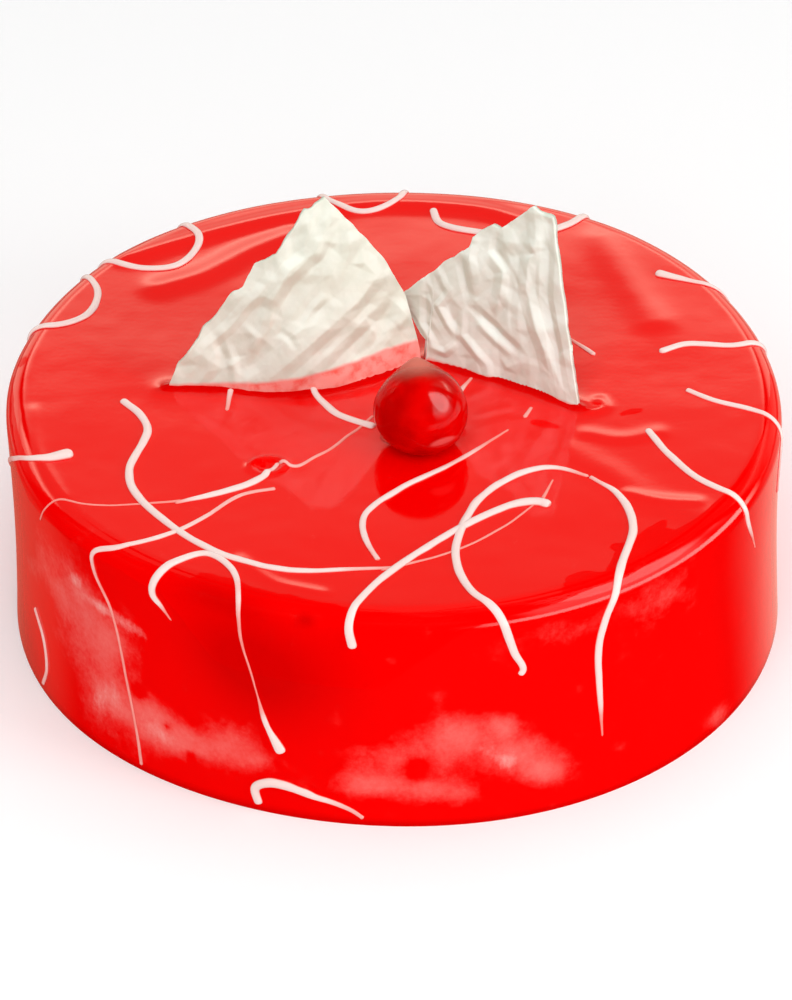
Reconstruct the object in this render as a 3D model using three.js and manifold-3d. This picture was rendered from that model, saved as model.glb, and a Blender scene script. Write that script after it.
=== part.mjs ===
// A round cake under red mirror glaze, with piped white drizzle over its top and wall,
// two crumpled white shards that stand in slots in the top, and one glazed cherry.
//
// Millimetres, +Z up, the front towards -Y. The origin is the centre of the cake's flat underside.
//
// The skin of the cake is unrolled about the middle of its top: a place on it is written (u, v),
// u to the right and v to the back, and the distance from (0, 0) is the way along the profile,
// out over the top, round the shoulder and down the wall.

import * as THREE from "three";
import { mergeGeometries, mergeVertices } from "three/addons/utils/BufferGeometryUtils.js";
import Module from "manifold-3d";

const wasm = await Module();
wasm.setup();

// ---------------------------------------------------------------- driving dimensions

const CAKE_RADIUS = 100;
const CAKE_HEIGHT = 64;
const FOOT_FLARE = 0.5; // the wall stands out this much more at its foot than at its shoulder
const WAIST = 0.7; // and it draws in this much half way down
const FOOT_ROUND = 1.5;
const SHOULDER_WIDTH = 5.5;
const SHOULDER_DROP = 5.5;
const SHOULDER_PATH = 8.64; // way along the skin round the shoulder
const BULGE_STARTS = 55; // inside this radius the top keeps its place where the rim bulges

const CAKE_SECTORS = 72;
const SHOULDER_RINGS = 4;
const WALL_RINGS = 4;
const TOP_RINGS = [14, 28, 42, 54, 64, 73, 81, 88];

// The outline is not quite round: swells round it, each so many times, and where the largest one points.
const OUTLINE_SWELLS = [
  { times: 2, out: 0.9, at: 45 },
  { times: 3, out: 0.3, at: 30 },
  { times: 4, out: 0.65, at: 43.5 },
  { times: 5, out: 0.3, at: 8.5 },
];
// The rim alone stands out here: angle from the front, spread, and mm.
const RIM_BULGES = [{ at: -98, spread: 14, out: 0.9 }];

// Low waves in the glaze of the top: a line through these (u, v) places, its height and half width.
const TOP_WAVES = [
  { height: 0.9, halfWidth: 3.2, line: [[-70, 65], [-58.5, 71.5], [-42, 79.5], [-25.5, 85.5], [-2.5, 90], [24, 86.5],
    [36, 80]] },
  { height: 0.5, halfWidth: 4.0, line: [[-61.5, 50], [-50.5, 56], [-37.5, 68], [-27.5, 75]] },
  { height: 0.5, halfWidth: 4.5, line: [[55.5, 71], [61, 52], [68, 31]] },
  { height: 0.6, halfWidth: 4.0, line: [[43.5, -28], [55.5, -40], [64, -51], [76.5, -57.5]] },
];

const DRIZZLE_SIDES = 5;
const DRIZZLE_STEP = 5.8;
const DRIZZLE_RISE = 0.4; // height over the skin, as a share of the width
const DRIZZLE_SINK = 0.7; // how deep its underside lies in the glaze

// Each drizzle: places (u, v) that its line passes, and its width there and between.
const DRIZZLES = {
  left_curve: { widths: [2.3, 2.2, 2.2, 2, 1.1],
    route: [[-70, -3.5], [-65, -10.5], [-63, -16.5], [-64, -23], [-67, -34], [-66, -43.5], [-58, -57.5],
      [-44.5, -72], [-27.5, -80], [-8, -79.5], [0, -79]] },
  dimple_tail: { widths: [1.1, 2.2, 2.3, 1.4],
    route: [[-55.5, -50], [-43.5, -45.5], [-37.5, -42.5], [-33.5, -39], [-30.5, -35]] },
  corner_and_fall: { widths: [1.4, 1.7, 1.6, 1.1, 1.1, 1.4],
    route: [[-30, -44], [-39, -47], [-47.5, -56], [-55, -62.5], [-68, -68], [-77, -66.5], [-81, -70.5],
      [-83.5, -81], [-93.5, -99], [-100.5, -114], [-103, -119]] },
  front_hook: { widths: [1.1, 2.3, 2.2, 1.6, 1.2, 0.9, 1.4, 3.1],
    route: [[-63, -88], [-63.5, -83], [-58, -78], [-47.5, -72.5], [-41, -79.5], [-39.5, -90.5], [-43, -101.5],
      [-44.5, -115.5], [-45, -126.5], [-42, -136.5]] },
  left_shard_tick: { widths: [1.6, 1], route: [[-42.3, -2.5], [-43, -9]] },
  shard_to_cherry: { widths: [1.8, 2.2, 2.5], route: [[-20.3, -2.5], [-18, -6.5], [-14.5, -11.5], [-6, -17]] },
  centre_comma: { widths: [0.9, 1.4, 1.9, 1.8, 1.4],
    route: [[27, -21], [15, -33.5], [1, -45], [-7.5, -55.5], [-8, -65], [-4.5, -76]] },
  big_loop: { widths: [2, 2.3, 2.2, 2.2, 2.2, 2.2, 2.1, 2.2, 2.2, 2, 1.1],
    route: [[35, -113], [31.5, -106.5], [24.5, -96], [18, -88.5], [14.5, -75], [16, -63], [22, -48], [33, -38],
      [40, -36.5], [48.5, -40.5], [55, -48], [58, -61], [53.5, -83.5], [56, -99.5], [65.5, -115], [71, -123]] },
  front_diagonal: { widths: [3.1, 2.3, 2.2, 2.2, 2, 2.3],
    route: [[38, -52.5], [30.5, -52], [19.5, -59], [5.5, -72.5], [-5, -85.5], [-12, -99.5], [-12, -107]] },
  right_curve: { widths: [2, 2.1, 2, 1.6, 0.9],
    route: [[64, -20], [69, -31.5], [75.5, -42], [83.5, -48.5], [90.5, -51.5], [104, -51]] },
  right_rim_low: { widths: [1.6, 1.8, 1.6, 1.1],
    route: [[75, -2], [81.5, -7], [92, -12], [104, -19], [115, -24]] },
  right_rim_mid: { widths: [2.2, 2, 1.8, 1.3],
    route: [[69, 15.5], [76, 19], [90.5, 18.5], [103.5, 24], [114.5, 26.5], [126, 27.5]] },
  right_rim_high: { widths: [2.9, 1.6, 1.6, 1.3],
    route: [[69.5, 53.5], [76.5, 50.5], [83.5, 48], [92, 46.5], [103, 47.5]] },
  back_right_loop: { widths: [2.2, 2.5, 2.5, 2.5, 2, 1.3],
    route: [[11, 87], [13, 79.5], [22, 75], [33.5, 73.5], [44.5, 76], [51.5, 83], [54, 94], [51, 106], [45, 118]] },
  back_loop: { widths: [1.3, 2, 2, 2, 1.3],
    route: [[-23.5, 120.5], [-22, 106], [-17, 92], [-8, 86], [1.5, 92], [5, 106], [9, 120.5], [7, 135]] },
  back_left_loop: { widths: [1.4, 2.2, 2.2, 2, 1.3],
    route: [[-66, 94], [-58, 84], [-51, 72], [-56.5, 59.5], [-65.5, 58], [-79, 65], [-90, 71], [-101, 80]] },
  left_rim_loop: { widths: [1.3, 2, 2.2, 2.2, 1.8, 1.1],
    route: [[-94, 64], [-84, 60], [-77, 48], [-80, 36], [-88.5, 31.5], [-102, 35], [-115, 41], [-128, 41]] },
  left_drop: { widths: [4, 1.4, 1.4, 1.3, 1.1],
    route: [[-81.5, -27.5], [-90, -29.5], [-97.5, -25], [-113, -8.5], [-124, 6]] },
  behind_shards: { widths: [0.9, 1.4], route: [[44.5, 24], [52, 14.5]] },
  cherry_tick: { widths: [1.1, 1.8], route: [[17.5, 0], [15.5, -5]] },
  right_shard_tick: { widths: [0.9, 1.2], route: [[35, -9], [33, -14]] },
  left_foot: { widths: [1.3, 1.4, 1.3],
    route: [[-129.5, -50.5], [-131.5, -61.5], [-137.5, -67], [-145.5, -66]] },
  front_foot_hook: { widths: [2.2, 2.7, 2.2, 1.4, 1.1],
    route: [[-56.5, -149], [-56.5, -144.5], [-50, -144], [-32.5, -151], [-19.5, -156], [-15.5, -158]] },
  rear_hook: { widths: [2, 2.2, 1.6, 2.5],
    route: [[18, 98], [25, 111], [32.5, 125.5], [30, 140.5], [22.5, 148]] },
  rear_arch: { widths: [1.8, 2.2, 2.2, 1.4],
    route: [[72, 70], [81, 83], [94.5, 88.5], [106, 82.5], [111, 68.5], [121.5, 57]] },
  rear_comma: { widths: [1.3, 2, 1.8, 1.3],
    route: [[-110.5, 57], [-104, 73], [-94.5, 82.5], [-82.5, 94.5], [-78.5, 109.5]] },
  rear_foot: { widths: [1.3, 2.3, 2.2, 1.3],
    route: [[-60.5, 136.5], [-49, 129], [-35, 131], [-23.5, 140.5], [-8, 148]] },
};

// A bubble that burst in the glaze: a raised ring with a shallow hollow inside.
const BUBBLE = { place: [-32, -34], radius: 4.2, ring: 0.9, hollow: 0.8 };

// The shards: each stands on a bent foot line in the plane of the top and leans to the back.
// Its outline is given as (along the foot, up the shard), and it reaches down into its slot.
const SHARD_THICKNESS = 1.6;
const SHARD_SUNK = 8;
const SHARD_COLUMNS = 15;
const SHARD_ROWS = 9;
const LEFT_SHARD = {
  lean: 18,
  foot: [[-58, 2.1], [-42.7, 0.6], [-26.8, -1.9], [-10.8, 2.1], [6.2, 11.7]],
  top: [[0, 1], [2.6, 6.5], [8.3, 13], [9.6, 15.6], [13, 18.8], [16.6, 24.4], [20.2, 26.6], [23.4, 32.4],
    [28.7, 34.6], [32, 38.8], [37, 45.8], [38.8, 46.2], [42.6, 48.4], [48.9, 40.8], [57.2, 30], [62.5, 18.9],
    [65.1, 6.5], [65.6, 3]],
  bottom: [[0, -SHARD_SUNK], [65.6, -SHARD_SUNK]],
};
const RIGHT_SHARD = {
  lean: 14,
  foot: [[9.1, 12.5], [18.7, 7.5], [30.3, 1.4], [46.9, -9.6]],
  top: [[-9.5, 16.8], [1.3, 28.2], [7.9, 34.1], [8.2, 36.9], [13.2, 41.7], [15.4, 41], [23.9, 49.6],
    [26, 48.6], [29.6, 47.6], [34.5, 31], [40.6, 11.1], [43.9, 1]],
  bottom: [[-9.5, 14.1], [-3, 3], [0, -SHARD_SUNK], [43.9, -SHARD_SUNK]],
};
// Folds pressed into both shards: the way each runs, its spacing, its depth.
const SHARD_FOLDS = [
  { turn: 52, spacing: 15, depth: 0.8, shift: 0.2 },
  { turn: 14, spacing: 23, depth: 0.7, shift: 0.6 },
  { turn: 96, spacing: 19, depth: 0.5, shift: 0.35 },
];

const CHERRY = { place: [6.6, -24.6], radius: 12.0, sunk: 1.3, squash: 0.92, tip: 0.6 };
const CHERRY_SECTORS = 20;
const CHERRY_RINGS = 12;

const FIT_GAP = 0.3; // between a topping and the hollow that it stands in

const COLOURS = { glaze: 0xd8140f, shard: 0xe8e2d4, cherry: 0xb00008 };

// ---------------------------------------------------------------- shared helpers

const smooth = (x) => THREE.MathUtils.smoothstep(x, 0, 1);

/** Value at x of a line through points [x, y], with x rising. */
function along(points, x) {
  let i = 1;
  while (i < points.length - 1 && x > points[i][0]) i += 1;
  const [x0, y0] = points[i - 1];
  const [x1, y1] = points[i];
  return THREE.MathUtils.mapLinear(THREE.MathUtils.clamp(x, x0, x1), x0, x1, y0, y1);
}

/** A value that passes through the widths at even shares of the way t, 0 to 1. */
function widthAt(widths, t) {
  const place = t * (widths.length - 1);
  const i = Math.min(Math.floor(place), widths.length - 2);
  return THREE.MathUtils.lerp(widths[i], widths[i + 1], smooth(place - i));
}

/** Turn a closed three.js geometry into a solid that can be joined and cut. */
function toSolid(geometry) {
  const bare = geometry.clone();
  for (const name of ["normal", "uv"]) bare.deleteAttribute(name);
  const merged = mergeVertices(bare, 1e-5);
  return new wasm.Manifold(new wasm.Mesh({
    numProp: 3,
    vertProperties: new Float32Array(merged.attributes.position.array),
    triVerts: new Uint32Array(merged.index.array),
  }));
}

/** Turn a solid back into a three.js geometry. */
function toGeometry(solid) {
  const mesh = solid.getMesh();
  const geometry = new THREE.BufferGeometry();
  geometry.setAttribute("position", new THREE.BufferAttribute(new Float32Array(mesh.vertProperties), 3));
  geometry.setIndex(new THREE.BufferAttribute(new Uint32Array(mesh.triVerts), 1));
  geometry.computeVertexNormals();
  return geometry;
}

/** Move every vertex of a geometry to the place that a function gives for it. */
function reshape(geometry, place) {
  const position = geometry.attributes.position;
  const vertex = new THREE.Vector3();
  for (let i = 0; i < position.count; i += 1) {
    const moved = place(vertex.fromBufferAttribute(position, i));
    position.setXYZ(i, moved.x, moved.y, moved.z);
  }
  return geometry;
}

// ---------------------------------------------------------------- the skin of the cake

/** How far the outline stands out of the true circle at an angle in degrees from the front. */
function swell(angle) {
  return OUTLINE_SWELLS.reduce(
    (sum, { times, out, at }) => sum + out * Math.cos(THREE.MathUtils.degToRad(times * (angle - at))),
    0,
  );
}

/** How far the rim bulges there beyond that. */
function rimBulge(angle) {
  return RIM_BULGES.reduce((sum, { at, spread, out }) => {
    const away = THREE.MathUtils.euclideanModulo(angle - at + 180, 360) - 180;
    return sum + out * Math.exp(-((away / spread) ** 2));
  }, 0);
}

const WAVES = TOP_WAVES.map((wave) => ({
  ...wave,
  points: new THREE.CatmullRomCurve3(wave.line.map(([u, v]) => new THREE.Vector3(u, v, 0))).getPoints(24),
}));

/** Height of the low waves at a place of the top. */
function waveHeight(x, y) {
  let height = 0;
  for (const wave of WAVES) {
    const away = Math.min(...wave.points.map((point) => Math.hypot(point.x - x, point.y - y)));
    height += wave.height * Math.exp(-((away / wave.halfWidth) ** 2));
  }
  return height;
}

/** Radius and height of the plain profile at a way s along the skin. */
function profile(s) {
  const flat = CAKE_RADIUS - SHOULDER_WIDTH;
  const wallTop = CAKE_HEIGHT - SHOULDER_DROP;
  if (s <= flat) return { r: s, z: CAKE_HEIGHT };
  if (s <= flat + SHOULDER_PATH) {
    const turn = ((s - flat) / SHOULDER_PATH) * (Math.PI / 2);
    return { r: flat + SHOULDER_WIDTH * Math.sin(turn), z: wallTop + SHOULDER_DROP * Math.cos(turn) };
  }
  const down = Math.min((s - flat - SHOULDER_PATH) / wallTop, 1);
  return { r: CAKE_RADIUS + FOOT_FLARE * down - WAIST * Math.sin(Math.PI * down), z: wallTop * (1 - down) };
}

/** Lift a place of the plain profile to the uneven skin. */
function uneven(r, z, angle) {
  const degrees = THREE.MathUtils.radToDeg(angle);
  const out = swell(degrees) + rimBulge(degrees) * smooth(z / CAKE_HEIGHT);
  const radius = r + out * smooth((r - BULGE_STARTS) / (CAKE_RADIUS - BULGE_STARTS));
  const x = radius * Math.sin(angle);
  const y = -radius * Math.cos(angle);
  const onTop = smooth((z - CAKE_HEIGHT + SHOULDER_DROP) / SHOULDER_DROP);
  return new THREE.Vector3(x, y, z + onTop * waveHeight(x, y));
}

/** The place on the skin at (u, v). */
function skin(u, v) {
  const { r, z } = profile(Math.hypot(u, v));
  return uneven(r, z, Math.atan2(u, -v));
}

/** The skin's outward direction at (u, v). */
function skinNormal(u, v) {
  const reach = 0.5;
  const across = skin(u + reach, v).sub(skin(u - reach, v));
  const back = skin(u, v + reach).sub(skin(u, v - reach));
  return across.cross(back).normalize();
}

// ---------------------------------------------------------------- sub-parts

/** The bare cake: a turned profile with its uneven rim, shoulder, foot and waves. */
function cakeBody() {
  const flat = CAKE_RADIUS - SHOULDER_WIDTH;
  const wallTop = CAKE_HEIGHT - SHOULDER_DROP;
  const points = [new THREE.Vector2(0, 0), new THREE.Vector2(CAKE_RADIUS * 0.55, 0)];
  points.push(new THREE.Vector2(CAKE_RADIUS + FOOT_FLARE - FOOT_ROUND, 0));
  for (let i = WALL_RINGS; i > 0; i -= 1) {
    const { r, z } = profile(flat + SHOULDER_PATH + (wallTop * i) / WALL_RINGS);
    points.push(new THREE.Vector2(r, Math.max(z, FOOT_ROUND)));
  }
  for (let i = SHOULDER_RINGS; i >= 0; i -= 1) {
    const { r, z } = profile(flat + (SHOULDER_PATH * i) / SHOULDER_RINGS);
    points.push(new THREE.Vector2(r, z));
  }
  for (const r of [...TOP_RINGS].reverse()) points.push(new THREE.Vector2(r, CAKE_HEIGHT));
  points.push(new THREE.Vector2(0, CAKE_HEIGHT));
  const turned = new THREE.LatheGeometry(points, CAKE_SECTORS).rotateX(Math.PI / 2);
  return toSolid(reshape(turned, (p) => {
    if (p.z < FOOT_ROUND / 2 && Math.hypot(p.x, p.y) < CAKE_RADIUS * 0.9) return p;
    return uneven(Math.hypot(p.x, p.y), p.z, Math.atan2(p.x, -p.y));
  }));
}

/** One drizzle: a cylinder laid along its line on the skin, wide as its widths say, round at both ends. */
function drizzle({ route, widths }) {
  const line = new THREE.CatmullRomCurve3(route.map(([u, v]) => new THREE.Vector3(u, v, 0)), false, "centripetal");
  const steps = Math.max(2, Math.ceil(line.getLength() / DRIZZLE_STEP));
  const rod = new THREE.CylinderGeometry(1, 1, 1, DRIZZLE_SIDES, steps);
  return toSolid(reshape(rod, (p) => {
    const t = p.y + 0.5;
    const { x: u, y: v } = line.getPointAt(t);
    const way = line.getTangentAt(t);
    const middle = skin(u, v);
    const up = skinNormal(u, v);
    const ahead = skin(u + way.x, v + way.y).sub(middle).normalize();
    const side = new THREE.Vector3().crossVectors(ahead, up).normalize();
    const end = t === 0 || t === 1 ? 0.55 : 1;
    const width = widthAt(widths, t);
    const lift = p.z > 0.05 ? p.z * width * DRIZZLE_RISE * end : p.z * DRIZZLE_SINK;
    const reach = t === 0 ? -width * 0.2 : t === 1 ? width * 0.2 : 0;
    return middle.addScaledVector(side, p.x * 0.5 * width * end).addScaledVector(up, lift)
      .addScaledVector(ahead, reach);
  }));
}

/** The burst bubble's raised ring, and the cutter for its hollow. */
function bubble() {
  const { place: [u, v], radius, ring, hollow } = BUBBLE;
  const round = (points) => new THREE.LatheGeometry(points.map(([r, z]) => new THREE.Vector2(r, z)), 14)
    .rotateX(Math.PI / 2);
  const at = skin(u, v);
  const raised = round([[radius - ring, -1], [radius + ring, -1], [radius + ring * 0.8, 0.2], [radius, 0.7],
    [radius - ring * 0.8, 0.3], [radius - ring, -1]]);
  const bowl = round([[0, -hollow], [radius * 0.55, -hollow * 0.7], [radius - ring, 0.25], [0, 0.9]]);
  return [raised, bowl].map((geometry) => toSolid(geometry.translate(at.x, at.y, at.z)));
}

/** How far the folds push a shard's sheet forward at (along, up). */
function foldDepth(p, q) {
  let depth = 0;
  for (const { turn, spacing, depth: deep, shift } of SHARD_FOLDS) {
    const angle = THREE.MathUtils.degToRad(turn);
    const across = (p * Math.sin(angle) - q * Math.cos(angle)) / spacing + shift;
    depth += deep * (Math.abs(2 * (across - Math.floor(across)) - 1) - 0.5);
  }
  return depth;
}

/** A shard as a bent and folded sheet of even thickness, made larger all round by grow. */
function shard({ lean, foot, top, bottom }, grow = 0) {
  const line = new THREE.CatmullRomCurve3(foot.map(([x, y]) => new THREE.Vector3(x, y, CAKE_HEIGHT)));
  const start = line.getPoint(0);
  const chord = line.getPoint(1).sub(start);
  const length = chord.length();
  chord.normalize();
  const back = new THREE.Vector3(-chord.y, chord.x, 0);
  const tilt = THREE.MathUtils.degToRad(lean);
  const rise = new THREE.Vector3(0, 0, Math.cos(tilt)).addScaledVector(back, Math.sin(tilt));
  const out = new THREE.Vector3().crossVectors(chord, rise);
  const left = top[0][0];
  const right = Math.max(...top.map(([p]) => p));
  const place = (i, j, side) => {
    const share = i / SHARD_COLUMNS;
    const p = THREE.MathUtils.lerp(left, right, share);
    const low = along(bottom, p) - grow;
    const high = Math.max(along(top, p) + grow, low + 1);
    const q = THREE.MathUtils.lerp(low, high, j / SHARD_ROWS);
    const bowed = line.getPoint(THREE.MathUtils.clamp(p / length, 0, 1)).sub(start).dot(out);
    const push = bowed + foldDepth(p, q) + side * (SHARD_THICKNESS / 2 + grow);
    return start.clone().addScaledVector(chord, p + (2 * share - 1) * grow).addScaledVector(rise, q)
      .addScaledVector(out, push);
  };
  const sheet = (side) => {
    const plane = new THREE.PlaneGeometry(1, 1, SHARD_COLUMNS, SHARD_ROWS);
    return reshape(plane, (p) => place((p.x + 0.5) * SHARD_COLUMNS, (p.y + 0.5) * SHARD_ROWS, side));
  };
  const front = sheet(1);
  const rear = sheet(-1);
  const wide = SHARD_COLUMNS + 1;
  const frontFaces = [...front.index.array];
  const rearFaces = [];
  for (let i = 0; i < frontFaces.length; i += 3) {
    rearFaces.push(frontFaces[i] + wide * (SHARD_ROWS + 1), frontFaces[i + 2] + wide * (SHARD_ROWS + 1),
      frontFaces[i + 1] + wide * (SHARD_ROWS + 1));
  }
  const rim = [];
  for (let i = 0; i <= SHARD_COLUMNS; i += 1) rim.push(i);
  for (let j = 1; j <= SHARD_ROWS; j += 1) rim.push(j * wide + SHARD_COLUMNS);
  for (let i = SHARD_COLUMNS - 1; i >= 0; i -= 1) rim.push(SHARD_ROWS * wide + i);
  for (let j = SHARD_ROWS - 1; j > 0; j -= 1) rim.push(j * wide);
  const edgeFaces = [];
  rim.forEach((a, n) => {
    const b = rim[(n + 1) % rim.length];
    const [c, d] = [a + wide * (SHARD_ROWS + 1), b + wide * (SHARD_ROWS + 1)];
    edgeFaces.push(a, b, c, b, d, c);
  });
  const both = mergeGeometries([front, rear]);
  both.setIndex([...frontFaces, ...rearFaces, ...edgeFaces]);
  return toSolid(both);
}

/** The cherry: a turned ball, a little flat, with a slight point on top. */
function cherry(grow = 0) {
  const { place: [x, y], radius, sunk, squash, tip } = CHERRY;
  const points = [];
  for (let i = 0; i <= CHERRY_RINGS; i += 1) {
    const angle = (Math.PI * i) / CHERRY_RINGS;
    const point = tip * Math.max(0, -Math.cos(angle)) ** 12;
    points.push(new THREE.Vector2((radius + grow) * Math.sin(angle), -(radius * squash + grow) * Math.cos(angle) + point));
  }
  points[0].x = 0;
  points[CHERRY_RINGS].x = 0;
  const ball = new THREE.LatheGeometry(points, CHERRY_SECTORS).rotateX(Math.PI / 2);
  return toSolid(ball.translate(x, y, CAKE_HEIGHT + radius * squash - sunk));
}

/** The cake with its drizzle and bubble, cut clear of the toppings that stand in it. */
function cake() {
  let whole = cakeBody();
  for (const each of Object.values(DRIZZLES)) whole = whole.add(drizzle(each));
  const [raised, hollow] = bubble();
  whole = whole.add(raised).subtract(hollow);
  for (const cutter of [shard(LEFT_SHARD, FIT_GAP), shard(RIGHT_SHARD, FIT_GAP), cherry(FIT_GAP)]) {
    whole = whole.subtract(cutter);
  }
  return whole;
}

// ---------------------------------------------------------------- the object

const group = new THREE.Group();

function addNode(name, solid, color, roughness) {
  const material = new THREE.MeshStandardMaterial({ color, roughness, metalness: 0 });
  const mesh = new THREE.Mesh(toGeometry(solid), material);
  mesh.name = name;
  group.add(mesh);
}

addNode("cake", cake(), COLOURS.glaze, 0.12);
addNode("shard_left", shard(LEFT_SHARD), COLOURS.shard, 0.4);
addNode("shard_right", shard(RIGHT_SHARD), COLOURS.shard, 0.4);
addNode("cherry", cherry(), COLOURS.cherry, 0.08);

export default group;
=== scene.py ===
"""Dresses a red mirror-glazed honey cake: its glaze, piped drizzle, crumpled shards and jellied cherry.

The skin of the cake is unrolled about the middle of its top. A place on it is written (u, v) in
millimetres, u to the right and v to the back, and the distance from (0, 0) is the way along the
profile: out over the top, round the shoulder and down the wall. Everything on the cake is laid by it.
"""

import logging
import math
from collections.abc import Iterable
from dataclasses import dataclass, field
from enum import Enum

import bmesh
import bpy
import numpy as np
from mathutils import Matrix, Vector, geometry, noise


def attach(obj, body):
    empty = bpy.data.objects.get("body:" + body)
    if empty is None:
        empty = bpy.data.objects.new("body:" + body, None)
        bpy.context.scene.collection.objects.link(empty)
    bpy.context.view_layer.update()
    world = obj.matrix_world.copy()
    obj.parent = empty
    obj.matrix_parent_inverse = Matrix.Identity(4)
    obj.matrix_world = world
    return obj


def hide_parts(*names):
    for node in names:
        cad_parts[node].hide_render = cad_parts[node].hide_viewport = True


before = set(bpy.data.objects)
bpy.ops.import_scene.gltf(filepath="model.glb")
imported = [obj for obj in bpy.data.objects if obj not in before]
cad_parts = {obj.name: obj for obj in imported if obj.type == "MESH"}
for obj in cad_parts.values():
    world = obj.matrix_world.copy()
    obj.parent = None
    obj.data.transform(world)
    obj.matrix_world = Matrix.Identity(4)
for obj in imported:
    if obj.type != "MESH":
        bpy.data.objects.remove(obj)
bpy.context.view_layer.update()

logging.basicConfig(level=logging.INFO, format="%(message)s")
LOG = logging.getLogger("honey_cake")

MM = 0.001
BODY = "root"
TINY = 1e-9
SPAN_STEPS = 40
SEED_SHIFT = (7.3, 3.1, 11.7)

Triple = tuple[float, float, float]
Line = tuple[tuple[float, float], ...]
Socket = bpy.types.NodeSocket


# ---------------------------------------------------------------- small helpers


def smooth(x: np.ndarray) -> np.ndarray:
    """Ease from 0 to 1 as x goes from 0 to 1.

    Args:
        x: Any values.

    Returns:
        The eased values, 0 below 0 and 1 above 1.
    """
    x = np.clip(x, 0.0, 1.0)
    return x * x * (3.0 - 2.0 * x)


def mix(a: float, b: float, t: np.ndarray) -> np.ndarray:
    """Blend from a to b as t goes from 0 to 1."""
    return a + (b - a) * t


def unit(rows: np.ndarray) -> np.ndarray:
    """Scale each row of an array to a length of 1."""
    return rows / np.linalg.norm(rows, axis=1, keepdims=True)


def through(a: np.ndarray, b: np.ndarray, low: float, high: float, t: np.ndarray) -> np.ndarray:
    """Read at t the straight line that is at a for low and at b for high."""
    return (high - t) / (high - low) * a + (t - low) / (high - low) * b


def catmull_rom(points: Line, count: int) -> np.ndarray:
    """Draw a smooth centripetal line through points.

    Args:
        points: The places that the line passes, in order.
        count: How many evenly spaced places to return.

    Returns:
        An array of count places, spaced evenly along the line.
    """
    p = np.array(points, float)
    p = np.vstack([2 * p[0] - p[1], p, 2 * p[-1] - p[-2]])
    knots = np.concatenate([[0.0], np.cumsum(np.sqrt(np.linalg.norm(np.diff(p, axis=0), axis=1)))])
    dense = []
    for i in range(1, len(p) - 2):
        near = knots[i - 1 : i + 3]
        t = np.linspace(near[1], near[2], SPAN_STEPS, endpoint=i == len(p) - 3)[:, None]
        a = [through(p[i - 1 + k], p[i + k], near[k], near[k + 1], t) for k in range(3)]
        b = [through(a[k], a[k + 1], near[k], near[k + 2], t) for k in range(2)]
        dense.append(through(*b, near[1], near[2], t))
    line = np.vstack(dense)
    way = np.concatenate([[0.0], np.cumsum(np.linalg.norm(np.diff(line, axis=0), axis=1))])
    even = np.linspace(0.0, way[-1], count)
    return np.stack([np.interp(even, way, line[:, k]) for k in range(line.shape[1])], axis=1)


def distance_to_line(x: np.ndarray, y: np.ndarray, line: np.ndarray) -> np.ndarray:
    """Distance in the plane from places to the nearest point of a line.

    Args:
        x: Places, first coordinate.
        y: Places, second coordinate.
        line: The line's points, closely spaced.

    Returns:
        The distances, in the shape of x.
    """
    best = np.full(x.shape, np.inf)
    for a, b in zip(line[:-1, :2], line[1:, :2]):
        way = b - a
        t = np.clip(((x - a[0]) * way[0] + (y - a[1]) * way[1]) / max(way @ way, TINY), 0, 1)
        best = np.minimum(best, np.hypot(x - a[0] - t * way[0], y - a[1] - t * way[1]))
    return best


def noise_at(places: np.ndarray, size: float, seed: float) -> np.ndarray:
    """Smooth noise from -1 to 1.

    Args:
        places: An array of places, one a row, in millimetres.
        size: The noise's feature size in millimetres.
        seed: A shift that picks another pattern.

    Returns:
        One value for each place.
    """
    shift = Vector([seed * part for part in SEED_SHIFT])
    return np.array([noise.noise(Vector(p) / size + shift) for p in places])


def grid(columns: int, rows: int) -> tuple[bmesh.types.BMesh, np.ndarray, np.ndarray]:
    """Make a flat grid, to be bent into a piece.

    Args:
        columns: How many faces it has across.
        rows: How many faces it has up.

    Returns:
        The bmesh, and the share from 0 to 1 at which each vertex stands across and up.
    """
    bm = bmesh.new()
    bmesh.ops.create_grid(bm, x_segments=columns, y_segments=rows, size=0.5)
    shares = np.array([vert.co[:2] for vert in bm.verts]) + 0.5
    return bm, shares[:, 0], shares[:, 1]


def shape(bm: bmesh.types.BMesh, places: np.ndarray) -> None:
    """Move a bmesh's vertices to places in millimetres, one a row."""
    for vert, spot in zip(bm.verts, places):
        vert.co = Vector(spot * MM)


def store(bm: bmesh.types.BMesh, name: str, values: Iterable[float]) -> None:
    """Store one number for each vertex of a bmesh, for its finish to read."""
    layer = bm.verts.layers.float.new(name)
    for vert, value in zip(bm.verts, values):
        vert[layer] = value


def close_up(bm: bmesh.types.BMesh, distance: float) -> None:
    """Merge vertices that are within a distance in metres and turn all faces outwards."""
    bmesh.ops.remove_doubles(bm, verts=bm.verts[:], dist=distance)
    bmesh.ops.dissolve_degenerate(bm, dist=distance * 0.5, edges=bm.edges[:])
    bmesh.ops.recalc_face_normals(bm, faces=bm.faces[:])


def finish_mesh(bm: bmesh.types.BMesh, name: str, material: bpy.types.Material) -> bpy.types.Object:
    """Turn a bmesh into a smooth-shaded object at the origin.

    Args:
        bm: The mesh, with its place in its vertices. It is freed.
        name: The piece's name.
        material: Its finish.

    Returns:
        The object, linked to the scene.
    """
    mesh = bpy.data.meshes.new(name)
    bm.to_mesh(mesh)
    bm.free()
    mesh.shade_smooth()
    mesh.materials.append(material)
    piece = bpy.data.objects.new(name, mesh)
    bpy.context.scene.collection.objects.link(piece)
    return piece


# ---------------------------------------------------------------- the skin of the cake


@dataclass(frozen=True)
class Swell:
    """A swell of the outline that comes so many times round: how far out, and where, in degrees."""

    times: int
    out: float
    at: float


@dataclass(frozen=True)
class Bulge:
    """How far the rim stands out near an angle from the front, in degrees and millimetres."""

    at: float
    spread: float
    out: float


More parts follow.
